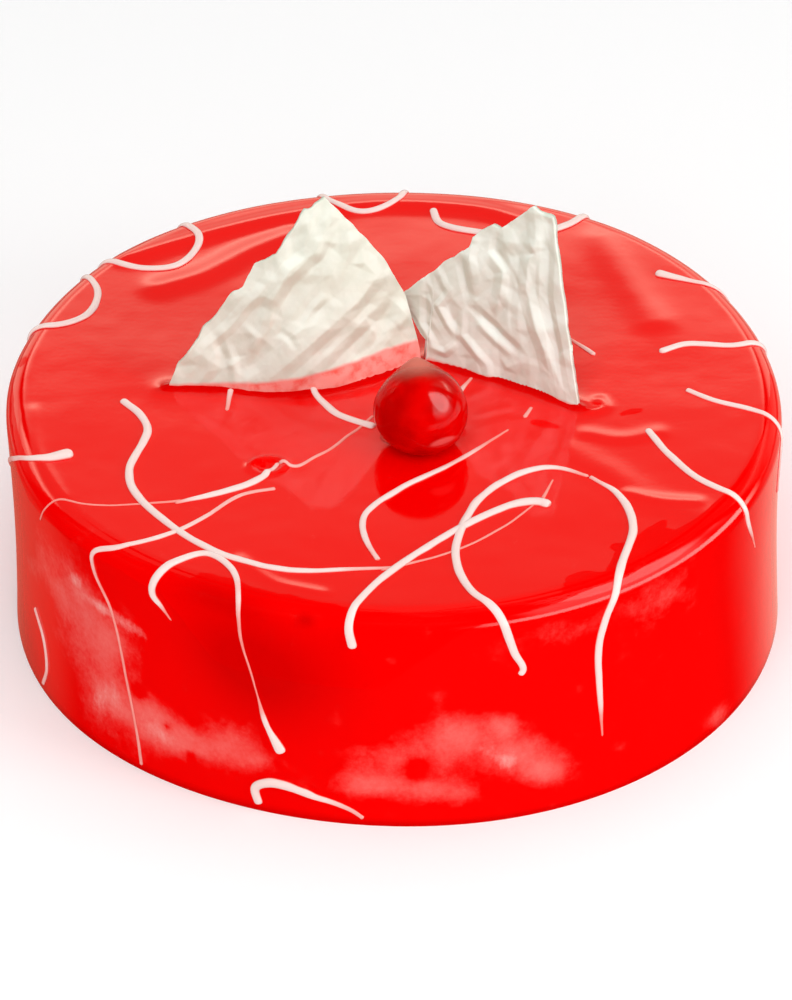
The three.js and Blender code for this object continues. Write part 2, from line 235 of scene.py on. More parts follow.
@dataclass(frozen=True)
class Wave:
    """A low wave in the glaze along a line: its height and half width in millimetres."""

    height: float
    half_width: float
    line: Line


@dataclass
class Skin:
    """The uneven outer skin of the cake, given for any place (u, v) of its unrolled map."""

    radius: float = 100.0
    height: float = 64.0
    foot_flare: float = 0.5
    waist: float = 0.7
    shoulder_width: float = 5.5
    shoulder_drop: float = 5.5
    shoulder_path: float = 8.64
    bulge_starts: float = 55.0
    swells: tuple[Swell, ...] = (
        Swell(2, 0.9, 45),
        Swell(3, 0.3, 30),
        Swell(4, 0.65, 43.5),
        Swell(5, 0.3, 8.5),
    )
    rim_bulge: Bulge = Bulge(-98, 14, 0.9)
    waves: tuple[Wave, ...] = (
        Wave(0.55, 3.4, (
            (-70, 65), (-58.5, 71.5), (-42, 79.5), (-25.5, 85.5), (-2.5, 90), (24, 86.5), (36, 80))),
        Wave(0.4, 4.0, ((-61.5, 50), (-50.5, 56), (-37.5, 68), (-27.5, 75))),
        Wave(0.22, 5.0, ((55.5, 71), (61, 52), (68, 31))),
        Wave(0.12, 4.5, ((43.5, -28), (55.5, -40), (64, -51), (76.5, -57.5))),
    )
    fine_waves: tuple[Wave, ...] = (
        Wave(0.3, 1.4, ((46.5, -10.5), (50.5, -11.5), (53.5, -9.5), (52.5, -6))),
        Wave(0.12, 2.4, ((48.5, -21), (57.5, -23.5), (66.5, -21))),
        Wave(0.16, 1.8, ((58, -48), (66, -51), (75, -52))),
        Wave(0.10, 1.6, ((-92.5, -7), (-90.5, -26), (-83.5, -46))),
        Wave(0.12, 1.6, ((-38.5, -74), (-30.5, -83.5), (-18.5, -88.5))),
        Wave(-0.35, 1.4, ((-99, 20), (-100.5, 14))),
        Wave(-0.35, 1.6, ((-99.5, -1), (-98, -10.5))),
    )
    bubble: tuple[float, float] = (-32.2, -33.9)
    bubble_radius: float = 4.2
    bubble_ring: float = 0.65
    bubble_hollow: float = 0.9
    bubble_ring_width: float = 0.9
    bubble_hollow_share: float = 0.62
    bubble_stretch: float = 1.25
    bubble_lopsided: float = 0.35
    bubble_turn: float = 0.6
    unevenness: float = 0.07
    unevenness_size: float = 26.0
    ripple: float = 0.01
    ripple_size: float = 6.0
    meniscus_height: float = 1.3
    meniscus_reach: float = 1.5
    wave_points: int = 25
    feet: list[np.ndarray] = field(default_factory=list)

    @property
    def flat(self) -> float:
        """Radius at which the flat top ends."""
        return self.radius - self.shoulder_width

    @property
    def wall_top(self) -> float:
        """Height at which the wall ends and the shoulder starts."""
        return self.height - self.shoulder_drop

    @property
    def foot_way(self) -> float:
        """Way along the skin from the middle of the top to the foot."""
        return self.flat + self.shoulder_path + self.wall_top

    def stands_out(self, angle: np.ndarray, z: np.ndarray) -> np.ndarray:
        """How far the outline stands out of the true circle.

        Args:
            angle: Degrees from the front.
            z: Heights in millimetres, since the rim bulges more than the foot.

        Returns:
            Millimetres outwards.
        """
        away = (angle - self.rim_bulge.at + 180.0) % 360.0 - 180.0
        total = self.rim_bulge.out * np.exp(-((away / self.rim_bulge.spread) ** 2)) * smooth(z / self.height)
        for swell in self.swells:
            total = total + swell.out * np.cos(np.radians(swell.times * (angle - swell.at)))
        return total

    def profile(self, s: np.ndarray) -> tuple[np.ndarray, np.ndarray]:
        """Give the plain profile.

        Args:
            s: Way along the skin in millimetres. Past the foot it runs in under the cake.

        Returns:
            The radius and height at each s.
        """
        turn = np.clip((s - self.flat) / self.shoulder_path, 0, 1) * math.pi / 2
        down = np.clip((s - self.flat - self.shoulder_path) / self.wall_top, 0, 1)
        under = np.maximum(s - self.foot_way, 0)
        r = np.where(s <= self.flat, s, self.flat + self.shoulder_width * np.sin(turn))
        r = np.maximum(r + self.foot_flare * down - self.waist * np.sin(math.pi * down) - under, 0.0)
        z = self.height - self.shoulder_drop * (1 - np.cos(turn)) - self.wall_top * down
        return r, z

    def wave_height(self, x: np.ndarray, y: np.ndarray, waves: tuple[Wave, ...]) -> np.ndarray:
        """Add up the waves in the glaze at places of the top."""
        total = np.zeros_like(x)
        for wave in waves:
            away = distance_to_line(x, y, catmull_rom(wave.line, self.wave_points))
            total += wave.height * np.exp(-((away / wave.half_width) ** 2))
        return total

    def top_relief(self, x: np.ndarray, y: np.ndarray) -> np.ndarray:
        """Add up everything that stands up out of the flat top.

        Args:
            x: Places to the right, in millimetres.
            y: The same, to the back.

        Returns:
            Heights in millimetres.
        """
        relief = self.wave_height(x, y, self.waves) + self.wave_height(x, y, self.fine_waves)
        right = x - self.bubble[0]
        back = y - self.bubble[1]
        away = np.hypot(right, back * self.bubble_stretch)
        uneven = 1.0 + self.bubble_lopsided * np.sin(np.arctan2(back, right) + self.bubble_turn)
        ring = np.exp(-(((away - self.bubble_radius) / self.bubble_ring_width) ** 2))
        relief += self.bubble_ring * uneven * ring
        hollow = np.exp(-((away / (self.bubble_radius * self.bubble_hollow_share)) ** 2))
        relief -= self.bubble_hollow * hollow
        climb = np.zeros_like(x)
        for foot in self.feet:
            climb = np.maximum(climb, np.exp(-distance_to_line(x, y, foot) / self.meniscus_reach))
        return relief + self.meniscus_height * climb

    def place(self, u: np.ndarray, v: np.ndarray) -> np.ndarray:
        """Find places on the skin.

        Args:
            u: Map coordinate to the right.
            v: Map coordinate to the back.

        Returns:
            An array of rows x, y, z in millimetres.
        """
        s = np.hypot(u, v)
        angle = np.arctan2(u, -v)
        r, z = self.profile(s)
        out = self.stands_out(np.degrees(angle), z)
        radius = r + out * smooth((r - self.bulge_starts) / (self.radius - self.bulge_starts))
        x = radius * np.sin(angle)
        y = -radius * np.cos(angle)
        on_top = smooth((z - self.wall_top) / self.shoulder_drop)
        under = s > self.foot_way
        lift = np.where(on_top > 0, on_top * self.top_relief(x, y), 0.0)
        return np.stack([x, y, np.where(under, 0.0, z + lift)], axis=1)

    def normal(self, u: np.ndarray, v: np.ndarray) -> np.ndarray:
        """Outward directions of the skin at places (u, v), one a row."""
        reach = 0.5
        across = self.place(u + reach, v) - self.place(u - reach, v)
        back = self.place(u, v + reach) - self.place(u, v - reach)
        return unit(np.cross(across, back))

    def undulation(self, places: np.ndarray) -> np.ndarray:
        """Soft unevenness of poured glaze, in millimetres along the skin's direction."""
        broad = self.unevenness * noise_at(places, self.unevenness_size, 1.0)
        return broad + self.ripple * noise_at(places, self.ripple_size, 2.0)


# ---------------------------------------------------------------- finishes


class Slot(Enum):
    """The record's material slots."""

    GLAZE = "glaze"
    DRIZZLE = "drizzle"
    SHARD = "shard"
    CHERRY = "cherry"


@dataclass
class Kit:
    """Adds nodes to a node tree, for sockets and numbers alike."""

    tree: bpy.types.NodeTree

    def add(self, kind: str, **settings: object) -> bpy.types.Node:
        """Add a node and set its properties and unlinked inputs.

        Args:
            kind: The node's type name, after "ShaderNode".
            settings: Node properties by name, or input values by socket name with spaces as _.

        Returns:
            The new node.
        """
        node = self.tree.nodes.new("ShaderNode" + kind)
        for key, value in settings.items():
            if hasattr(node, key):
                setattr(node, key, value)
            else:
                node.inputs[key.replace("_", " ")].default_value = value
        return node

    def feed(self, target: Socket, value: object) -> None:
        """Give an input a socket to follow, or a number or colour of its own."""
        if isinstance(value, Socket):
            self.tree.links.new(value, target)
        else:
            target.default_value = (*value, 1.0) if isinstance(value, tuple) else value

    def math(self, operation: str, *values: object) -> Socket:
        """One Math node on one or two sockets or numbers."""
        node = self.add("Math", operation=operation)
        for target, value in zip(node.inputs, values):
            self.feed(target, value)
        return node.outputs["Value"]

    def product(self, first: object, *others: object) -> Socket:
        """Multiply sockets and numbers together."""
        for other in others:
            first = self.math("MULTIPLY", first, other)
        return first

    def total(self, first: object, *others: object) -> Socket:
        """Add sockets, numbers and pairs; the two of a pair are multiplied first."""
        for other in others:
            first = self.math("ADD", first, self.product(*other) if isinstance(other, tuple) else other)
        return first

    def step(self, value: Socket, low: float, high: float) -> Socket:
        """Eased step from 0 at low to 1 at high; with low above high it falls instead."""
        node = self.add("MapRange", interpolation_type="SMOOTHSTEP")
        self.feed(node.inputs["Value"], value)
        self.feed(node.inputs["From Min"], min(low, high))
        self.feed(node.inputs["From Max"], max(low, high))
        rising = node.outputs["Result"]
        return rising if low < high else self.math("SUBTRACT", 1.0, rising)

    def blend(self, share: Socket, a: object, b: object) -> Socket:
        """Blend two colours, each a socket or three numbers, from a at 0 to b at 1."""
        node = self.add("Mix", data_type="RGBA")
        self.feed(node.inputs["Factor"], share)
        for target, colour in zip(node.inputs[6:8], (a, b)):
            self.feed(target, colour)
        return node.outputs[2]


class MaterialKit(Kit):
    """Builds one node material step by step."""

    def __init__(self, name: str) -> None:
        """Start a material with a Principled shader and nothing linked."""
        self.material = bpy.data.materials.new(name)
        self.material.use_nodes = True
        super().__init__(self.material.node_tree)
        self.shader = self.tree.nodes["Principled BSDF"]

    def coordinates(self, stretch: Triple = (1, 1, 1), turn: float = 0.0) -> Socket:
        """Object coordinates, scaled along each axis and turned by degrees about Z."""
        mapping = self.add("Mapping", Scale=stretch, Rotation=(0, 0, math.radians(turn)))
        self.feed(mapping.inputs["Vector"], self.add("TexCoord").outputs["Object"])
        return mapping.outputs["Vector"]

    def noise(self, vector: Socket, scale: float, detail: float = 2.0, roughness: float = 0.5) -> Socket:
        """A noise texture's value.

        Args:
            vector: Where to read it.
            scale: Features a metre.
            detail: Octaves.
            roughness: How strong the finer octaves are.

        Returns:
            The value socket.
        """
        texture = self.add("TexNoise", Scale=scale, Detail=detail, Roughness=roughness)
        self.feed(texture.inputs["Vector"], vector)
        return texture.outputs["Fac"]

    def attribute(self, name: str) -> Socket:
        """A number stored on the mesh's vertices."""
        return self.add("Attribute", attribute_name=name).outputs["Fac"]

    def bump(self, *heights: tuple[Socket, float]) -> None:
        """Chain bumps into the shader's normal.

        Args:
            heights: Height sockets, each with its depth in millimetres.
        """
        normal = None
        for height, depth in heights:
            node = self.add("Bump", Strength=1.0, Distance=depth * MM)
            self.feed(node.inputs["Height"], height)
            if normal is not None:
                self.feed(node.inputs["Normal"], normal)
            normal = node.outputs["Normal"]
        self.set(Normal=normal)

    def set(self, **values: object) -> None:
        """Feed or set inputs of the Principled shader by name, with spaces as _."""
        for key, value in values.items():
            self.feed(self.shader.inputs[key.replace("_", " ")], value)


@dataclass(frozen=True)
class GlazeFinish:
    """Red mirror jelly, clear enough to show pale cream in places, with painted reflection and shade."""

    red: Triple = (0.88, 0.0, 0.0)
    # Darker red, for patches on the wall and for painted shade near the feet of the pieces on top and above
    # the cake's foot.
    deep: Triple = (0.60, 0.0, 0.0)
    # Pale red of cream under the glaze, also used for painted reflection of pale surroundings.
    cream_and_reflection: Triple = (0.90, 0.15, 0.13)
    # Paler pink for streaks of painted reflection.
    pale: Triple = (0.92, 0.44, 0.40)
    gloss: float = 0.5
    dull_gloss: float = 0.06

    def build(self) -> bpy.types.Material:
        """Make the node material."""
        kit = MaterialKit("glaze_red")
        plain = kit.coordinates()
        grain = kit.noise(plain, 800.0, 3.0, 0.6)
        mottled = kit.noise(plain, 110.0, 6.0, 0.68)
        smear = kit.noise(kit.coordinates((1.0, 1.0, 0.45), 20), 170.0, 5.0, 0.66)
        body = kit.blend(kit.attribute("deep"), self.red, self.deep)
        # Pale patches of cream and painted reflection, then paler streaks of painted reflection.
        cream_and_reflection_amount = kit.total(kit.attribute("cream_and_reflection"), (mottled, 1.15), (grain, 0.32))
        cloudy = kit.blend(kit.step(cream_and_reflection_amount, 0.86, 1.95), body, self.cream_and_reflection)
        streaky = kit.total(kit.attribute("pale"), (smear, 1.2), (grain, 0.30))
        ragged = kit.total(kit.attribute("dull"), (kit.noise(plain, 210.0, 4.0, 0.6), 0.5))
        dull = kit.step(ragged, 0.70, 0.80)
        kit.bump(
            (kit.noise(plain, 36.0, 2.0, 0.45), 0.07),
            (kit.noise(kit.coordinates((0.35, 1.5, 1.0), 4), 70.0, 3.0, 0.55), 0.012),
            (kit.noise(plain, 700.0, 3.0, 0.6), 0.006),
        )
        kit.set(
            Base_Color=kit.blend(kit.step(streaky, 0.95, 1.90), cloudy, self.pale),
            Specular_IOR_Level=kit.total(self.gloss, (dull, self.dull_gloss - self.gloss)),
            Roughness=0.055,
            IOR=1.46,
        )
        return kit.material


@dataclass(frozen=True)
class DrizzleFinish:
    """White icing, pink where it is thin, and dark red painted shade where it sinks into the glaze."""

    white: Triple = (0.90, 0.70, 0.66)
    pink: Triple = (0.93, 0.24, 0.20)
    # Dark red painted shade along the strand's edge on the glaze.
    sunk: Triple = (0.70, 0.01, 0.01)

    def build(self) -> bpy.types.Material:
        """Make the node material."""
        kit = MaterialKit("drizzle_white")
        plain = kit.coordinates()
        body = kit.total(kit.attribute("milk_and_shade"), (kit.noise(plain, 260.0), 0.2))
        # Painted shade: dark red where the icing meets the glaze, pink where it is thin.
        lower = kit.blend(kit.step(body, 0.10, 0.42), self.sunk, self.pink)
        kit.bump((kit.noise(plain, 500.0, 2.0, 0.5), 0.03))
        kit.set(
            Base_Color=kit.blend(kit.step(body, 0.38, 1.05), lower, self.white),
            Roughness=0.25,
            IOR=1.45,
            Subsurface_Weight=0.1,
            Subsurface_Scale=0.0008,
        )
        kit.shader.inputs["Subsurface Radius"].default_value = (1.0, 0.5, 0.4)
        return kit.material


@dataclass(frozen=True)
class ShardFinish:
    """White chocolate with the satin of crumpled foil, stained by red glaze at its foot, with painted facet
    light and shade.
    """

    name: str
    # white is the painted lit colour of facets that face the light, shade the painted shaded colour.
    white: Triple
    shade: Triple
    stain: Triple = (0.93, 0.29, 0.25)
    wet: Triple = (0.90, 0.12, 0.09)

    def build(self) -> bpy.types.Material:
        """Make the node material."""
        kit = MaterialKit(self.name)
        plain = kit.coordinates()
        # Painted light and shade: facets that face the light are painted white, the others shade.
        light = kit.total(kit.attribute("tone"), (kit.noise(plain, 130.0, 4.0, 0.6), 0.5))
        body = kit.blend(kit.step(light, 0.30, 1.20), self.shade, self.white)
        patchy = kit.product(kit.noise(plain, 260.0, 4.0, 0.62), 0.45)
        damp = kit.total(kit.attribute("stain"), patchy)
        soaked = kit.blend(kit.step(patchy, 0.14, 0.26), self.wet, self.stain)
        creased = kit.add("TexVoronoi", feature="DISTANCE_TO_EDGE", Scale=230.0)
        kit.feed(creased.inputs["Vector"], plain)
        kit.bump(
            (kit.noise(plain, 150.0, 3.0, 0.55), 0.25),
            (kit.step(creased.outputs["Distance"], 0.0, 0.30), 0.05),
            (kit.noise(plain, 900.0, 2.0, 0.5), 0.010),
        )
        kit.set(
            Base_Color=kit.blend(kit.step(damp, 0.42, 0.86), body, soaked),
            Roughness=0.32,
            IOR=1.45,
            Subsurface_Weight=0.05,
            Subsurface_Scale=0.001,
        )
        kit.shader.inputs["Subsurface Radius"].default_value = (1.0, 0.8, 0.6)
        return kit.material


@dataclass(frozen=True)
class CherryFinish:
    """Dark red cocktail cherry, shiny only where its wet spot is, with a pale fleck for its lower glint."""

    skin: Triple = (0.70, 0.0, 0.0)
    deep: Triple = (0.48, 0.0, 0.0)
    pale: Triple = (0.78, 0.12, 0.11)
    glint: float = 0.85
    gloss: float = 0.05
    wet_gloss: float = 0.72

    def build(self) -> bpy.types.Material:
        """Make the node material."""
        kit = MaterialKit("cherry_red")
        plain = kit.coordinates()
        tone = kit.step(kit.noise(plain, 110.0, 3.0, 0.5), 0.35, 0.7)
        body = kit.blend(tone, self.skin, self.deep)
        kit.bump((kit.noise(plain, 160.0, 2.0, 0.5), 0.03))
        kit.set(
            Base_Color=kit.blend(kit.product(kit.attribute("glint"), self.glint), body, self.pale),
            Specular_IOR_Level=kit.total(self.gloss, (kit.attribute("wet"), self.wet_gloss)),
            Roughness=0.06,
            IOR=1.45,
        )
        return kit.material


@dataclass(frozen=True)
class FilmFinish:
    """Clear jelly with a brown-pink cast, seen mostly at its apex and where it is looked along."""

    tint: Triple = (0.80, 0.25, 0.18)
    edge_tint: Triple = (0.45, 0.06, 0.03)
    edge: float = 0.5
    apex: float = 0.55

    def build(self) -> bpy.types.Material:
        """Make the node material."""
        kit = MaterialKit("jelly_film")
        body = kit.attribute("body")
        facing = kit.add("LayerWeight", Blend=0.5).outputs["Facing"]
        rim = kit.product(kit.step(facing, 0.62, 0.98), self.edge)
        cover = kit.math("MAXIMUM", rim, kit.product(body, self.apex))
        kit.set(
            Alpha=kit.product(cover, kit.attribute("fade")),
            Base_Color=kit.blend(body, self.edge_tint, self.tint),
            Roughness=0.25,
            IOR=1.33,
            Specular_IOR_Level=0.08,
        )
        return kit.material


# ---------------------------------------------------------------- the cake's glaze


@dataclass(frozen=True)
class Patch:
    """A soft patch on the skin: middle (u, v), reach across and along, turn in degrees, strength."""

    u: float
    v: float
    across: float
    along: float
    turn: float
    strength: float

    def at(self, u: np.ndarray, v: np.ndarray) -> np.ndarray:
        """Strength of the patch at places (u, v)."""
        c = math.cos(math.radians(self.turn))
        s = math.sin(math.radians(self.turn))
        a = ((u - self.u) * c + (v - self.v) * s) / self.across
        b = (-(u - self.u) * s + (v - self.v) * c) / self.along
        return self.strength * np.exp(-(a * a + b * b))


def patches(*rows: tuple[float, ...]) -> tuple[Patch, ...]:
    """Make patches from rows of u, v, across, along, turn and strength."""
    return tuple(Patch(*row) for row in rows)


@dataclass
class Glaze:
    """The cake's whole outer skin, from the middle of its top to the middle of its underside.

    Patches with a strength below 0 are holes in the others. The band is the plain red ring round the
    rim, where nothing pale is mirrored: degrees from the front, and where it starts and ends along the
    skin. Each edge of it has a blur in millimetres and a strength on its line.
    """

    skin: Skin
    sectors: int = 480
    top_step: float = 1.0
    shoulder_step: float = 0.7
    wall_step: float = 1.1
    before_shoulder: float = 4.0
    after_shoulder: float = 3.0
    above_foot: float = 2.0
    foot_ways: tuple[float, ...] = (-1.5, -0.8, -0.3, 0.0, 0.4, 1.2, 30.0)
    foot_margin: float = 0.1
    calm_foot: float = 12.0
    pole_reach: float = 0.6
    merge_reach: float = 2e-6
    # Pale patches, on the wall mostly: cream under the glaze and painted reflection of pale surroundings.
    cream_and_reflection_patches: tuple[Patch, ...] = patches(
        (-110, -50, 28.9, 8.9, -37, 0.55), (-99, -70, 16.0, 7.6, -30, 0.60),
        (-120, -70, 29.6, 7.9, -31, 0.45), (-92, -87, 12.9, 7.8, -25, 0.70),
        (-107, -96, 18.5, 9.9, -37, 0.75), (-91, -113, 14.8, 6.5, -39, 0.85),
        (-78, -125, 18.0, 4.6, -32, 0.75), (-59, -130, 11.0, 5.6, -18, 0.60),
        (-51, -137, 7.0, 3.1, -15, 0.50), (-2, -111, 2.5, 1.9, -12, 0.28), (12, -121, 3.9, 3.4, 62, 0.38),
        (0, -141, 20.4, 6.7, 11, 0.50), (19, -133, 9.8, 6.9, 18, 0.65), (35, -128, 5.1, 3.3, 2, 0.80),
        (42, -136, 17.2, 6.6, 2, 0.80), (-11, -149, 12.7, 4.0, -6, 0.70), (15, -150, 15.0, 4.0, 0, 0.70),
        (55, -140, 10.3, 3.6, 13, 0.60), (56, -114, 2.2, 1.4, -1, 0.25), (81, -125, 3.7, 2.0, 26, 0.40),
        (126, -95, 8.5, 3.0, 49, 0.60), (42, -99, 16.3, 4.2, 25, 0.30), (72, -83, 15.5, 7.0, 33, 0.35),
        (120, 86, 24, 12, 130, 0.70), (-92, 96, 20, 12, 45, 0.70), (28, 134, 26, 10, 0, 0.70),
        (6, -144, 3.2, 2.7, 3, -0.70), (-116, -38, 8.7, 3.2, -51, -1.00), (-90, -104, 2.8, 1.8, -20, -1.10),
        (-85, -117, 2.3, 1.5, -21, -1.00), (-83, -103, 2.1, 1.3, -11, -0.80),
        (-80, -128, 2.0, 1.2, -14, -0.80), (-143, -38, 30.0, 10.2, -52, -0.80),
        (-135, -64, 21.3, 5.1, -59, -0.80),
    )
    # Paler streaks on the wall: painted reflection of pale surroundings.
    pale_reflection_patches: tuple[Patch, ...] = patches(
        (-93, -67, 4.3, 2.0, -41, 0.55), (-88, -78, 8.4, 2.3, -46, 0.75), (-78, -89, 7.7, 2.2, -42, 0.45),
        (-106, -99, 12.1, 6.0, -38, 0.45), (-87, -119, 10.7, 3.5, -38, 0.50),
        (38, -139, 4.1, 2.4, -1, 0.65), (32, -136, 10.7, 3.0, -2, 0.28), (-90, -104, 2.8, 1.8, -20, -0.60),
        (-85, -117, 2.3, 1.5, -21, -0.60),
    )
    # Darker red patches on the front and left of the wall.
    deep_patches: tuple[Patch, ...] = patches(
        (-46, -107, 16.8, 14.2, -41, 0.90), (-45, -89, 10.8, 3.5, -31, 0.60),
        (-29, -116, 19.2, 14.9, 11, 0.50), (-23, -98, 2.3, 1.7, -5, 0.70), (-152, -40, 10, 40, 10, 0.70),
    )
    dull_patches: tuple[Patch, ...] = patches(
        (-44, -84, 9, 2.2, -28, 0.9), (-33, -90, 6, 1.8, -20, 0.9), (56, -77, 7, 3.0, 38, 1.0),
        (64, -62, 5, 2.2, 55, 0.8), (14, -20, 6, 5, 0, 0.8), (60, -12, 5, 2, 20, 0.8),
        (38, -17, 5, 2.0, -25, 0.9), (-35, -33, 3.4, 2.4, 0, 0.8), (50, -9, 4, 2.6, 0, 0.8),
        (-96, 16, 5, 2.5, 70, 0.7),
    )
    band: tuple[Triple, ...] = (
        (-180, 199, 200), (-106, 199, 200), (-96, 99, 100), (-90, 98, 100), (-78, 97.5, 100.5),
        (-68, 98, 105), (-55, 98, 102.5), (-44, 98, 102), (-36, 97, 103.5), (-33, 97.9, 108),
        (-28, 94.5, 118), (-25.5, 92.5, 120), (-22.4, 95.4, 120), (-19.9, 97.4, 120), (-16.5, 94, 120),
        (-13.7, 95, 120), (-8.9, 95.5, 120), (-6.5, 97.4, 120), (-3, 96.8, 120), (4, 98.3, 110),
        (10, 98, 102), (16, 97.5, 100), (24, 96.8, 99), (26.5, 91.8, 98.6), (29.6, 91.5, 98),
        (32, 95.5, 98), (36, 90, 97.4), (37, 86, 97), (39.2, 88, 97), (45.4, 88, 97), (47, 92.8, 97.2),
        (51, 93.8, 98), (60, 94.5, 99.4), (72, 95.2, 99.8), (85, 96.4, 100), (94, 98, 100), (104, 199, 200),
        (180, 199, 200),
    )
    band_starts: tuple[float, float] = (1.6, 0.45)
    band_ends: tuple[float, float] = (2.0, 0.45)
    most: float = 0.85
    # Painted shade: darker red near the feet of the shards and cherry, and in a thin line just above the
    # cake's foot.
    foot_shade: tuple[float, float] = (3.6, 1.15)
    foot_depth: float = 0.9
    low_line: tuple[float, float] = (2.2, 1.6)
    low_line_depth: float = 0.8

    def build(self) -> bpy.types.Object:
        """Model and dress the glaze."""
        skin = self.skin
        ways = self.ways()
        bm, share, turn = grid(len(ways) - 1, self.sectors)
        way = ways[np.rint(share * (len(ways) - 1)).astype(int)]
        angle = turn * 2 * math.pi
        u = way * np.sin(angle)
        v = -way * np.cos(angle)
        places = skin.place(u, v)
        above = way < skin.foot_way - self.foot_margin
        direction = skin.normal(np.where(way < self.pole_reach, self.pole_reach, u), v)
        lift = skin.undulation(places) * smooth((skin.foot_way - way) / self.calm_foot)
        places = places + direction * (lift * above)[:, None]
        places[~above, 2] = 0.0
        shape(bm, places)
        for name, values in self.shades(u, v).items():
            store(bm, name, np.clip(values, 0, 1))
        close_up(bm, self.merge_reach)
        return finish_mesh(bm, "cake_glaze", GlazeFinish().build())

    def ways(self) -> np.ndarray:
        """The ways along the skin at which rings of vertices lie, closest together round the shoulder."""
        skin = self.skin
        shoulder_start = skin.flat - self.before_shoulder
        wall_start = skin.flat + skin.shoulder_path + self.after_shoulder
        return np.concatenate([
            np.arange(0, shoulder_start, self.top_step),
            np.arange(shoulder_start, wall_start, self.shoulder_step),
            np.arange(wall_start, skin.foot_way - self.above_foot, self.wall_step),
            skin.foot_way + np.array([*self.foot_ways, skin.radius + skin.foot_flare]),
        ])

    def shades(self, u: np.ndarray, v: np.ndarray) -> dict[str, np.ndarray]:
        """Find where pale cream and painted reflections, deeper red with painted shade, and dull glaze show.

        Args:
            u: Map coordinates of the vertices.
            v: The same, to the back.

        Returns:
            The strength of each at each vertex, by its attribute's name.
        """
        # Painted shade near the feet of the shards and cherry, and just above the cake's foot.
        reach, full = self.foot_shade
        at_feet = sum(np.clip(full - distance_to_line(u, v, foot) / reach, 0, 1) for foot in self.skin.feet)
        starts, blur = self.low_line
        low = smooth((np.hypot(u, v) - self.skin.foot_way + starts) / blur)
        groups = (self.cream_and_reflection_patches, self.pale_reflection_patches, self.deep_patches, self.dull_patches)
        cream_and_reflection, pale, deep, dull = (sum(patch.at(u, v) for patch in group) for group in groups)
        return {
            "cream_and_reflection": np.minimum(cream_and_reflection, self.most),
            "pale": np.minimum(pale, self.most),
            "deep": np.minimum(deep, self.most) + self.low_line_depth * low + self.foot_depth * at_feet,
            "dull": dull + self.band_at(u, v) + at_feet,
        }

    def band_at(self, u: np.ndarray, v: np.ndarray) -> np.ndarray:
        """Find how far places lie inside the plain red band.

        Args:
            u: Map coordinate to the right.
            v: Map coordinate to the back.

        Returns:
            Shares from 0 outside to 1 inside.
        """
        way = np.hypot(u, v)
        angles, *edges = np.array(self.band).T
        start, end = (np.interp(np.degrees(np.arctan2(u, -v)), angles, edge) for edge in edges)
        inside = np.ones_like(way)
        for depth, (blur, at_edge) in ((way - start, self.band_starts), (end - way, self.band_ends)):
            inside = inside * np.clip(depth / blur + at_edge, 0, 1)
        return inside


# ---------------------------------------------------------------- the drizzle


@dataclass(frozen=True)
class Strand:
    """One drizzle: its widths at even shares of its way, and the places (u, v) that it passes."""

    widths: tuple[float, ...]
    route: Line


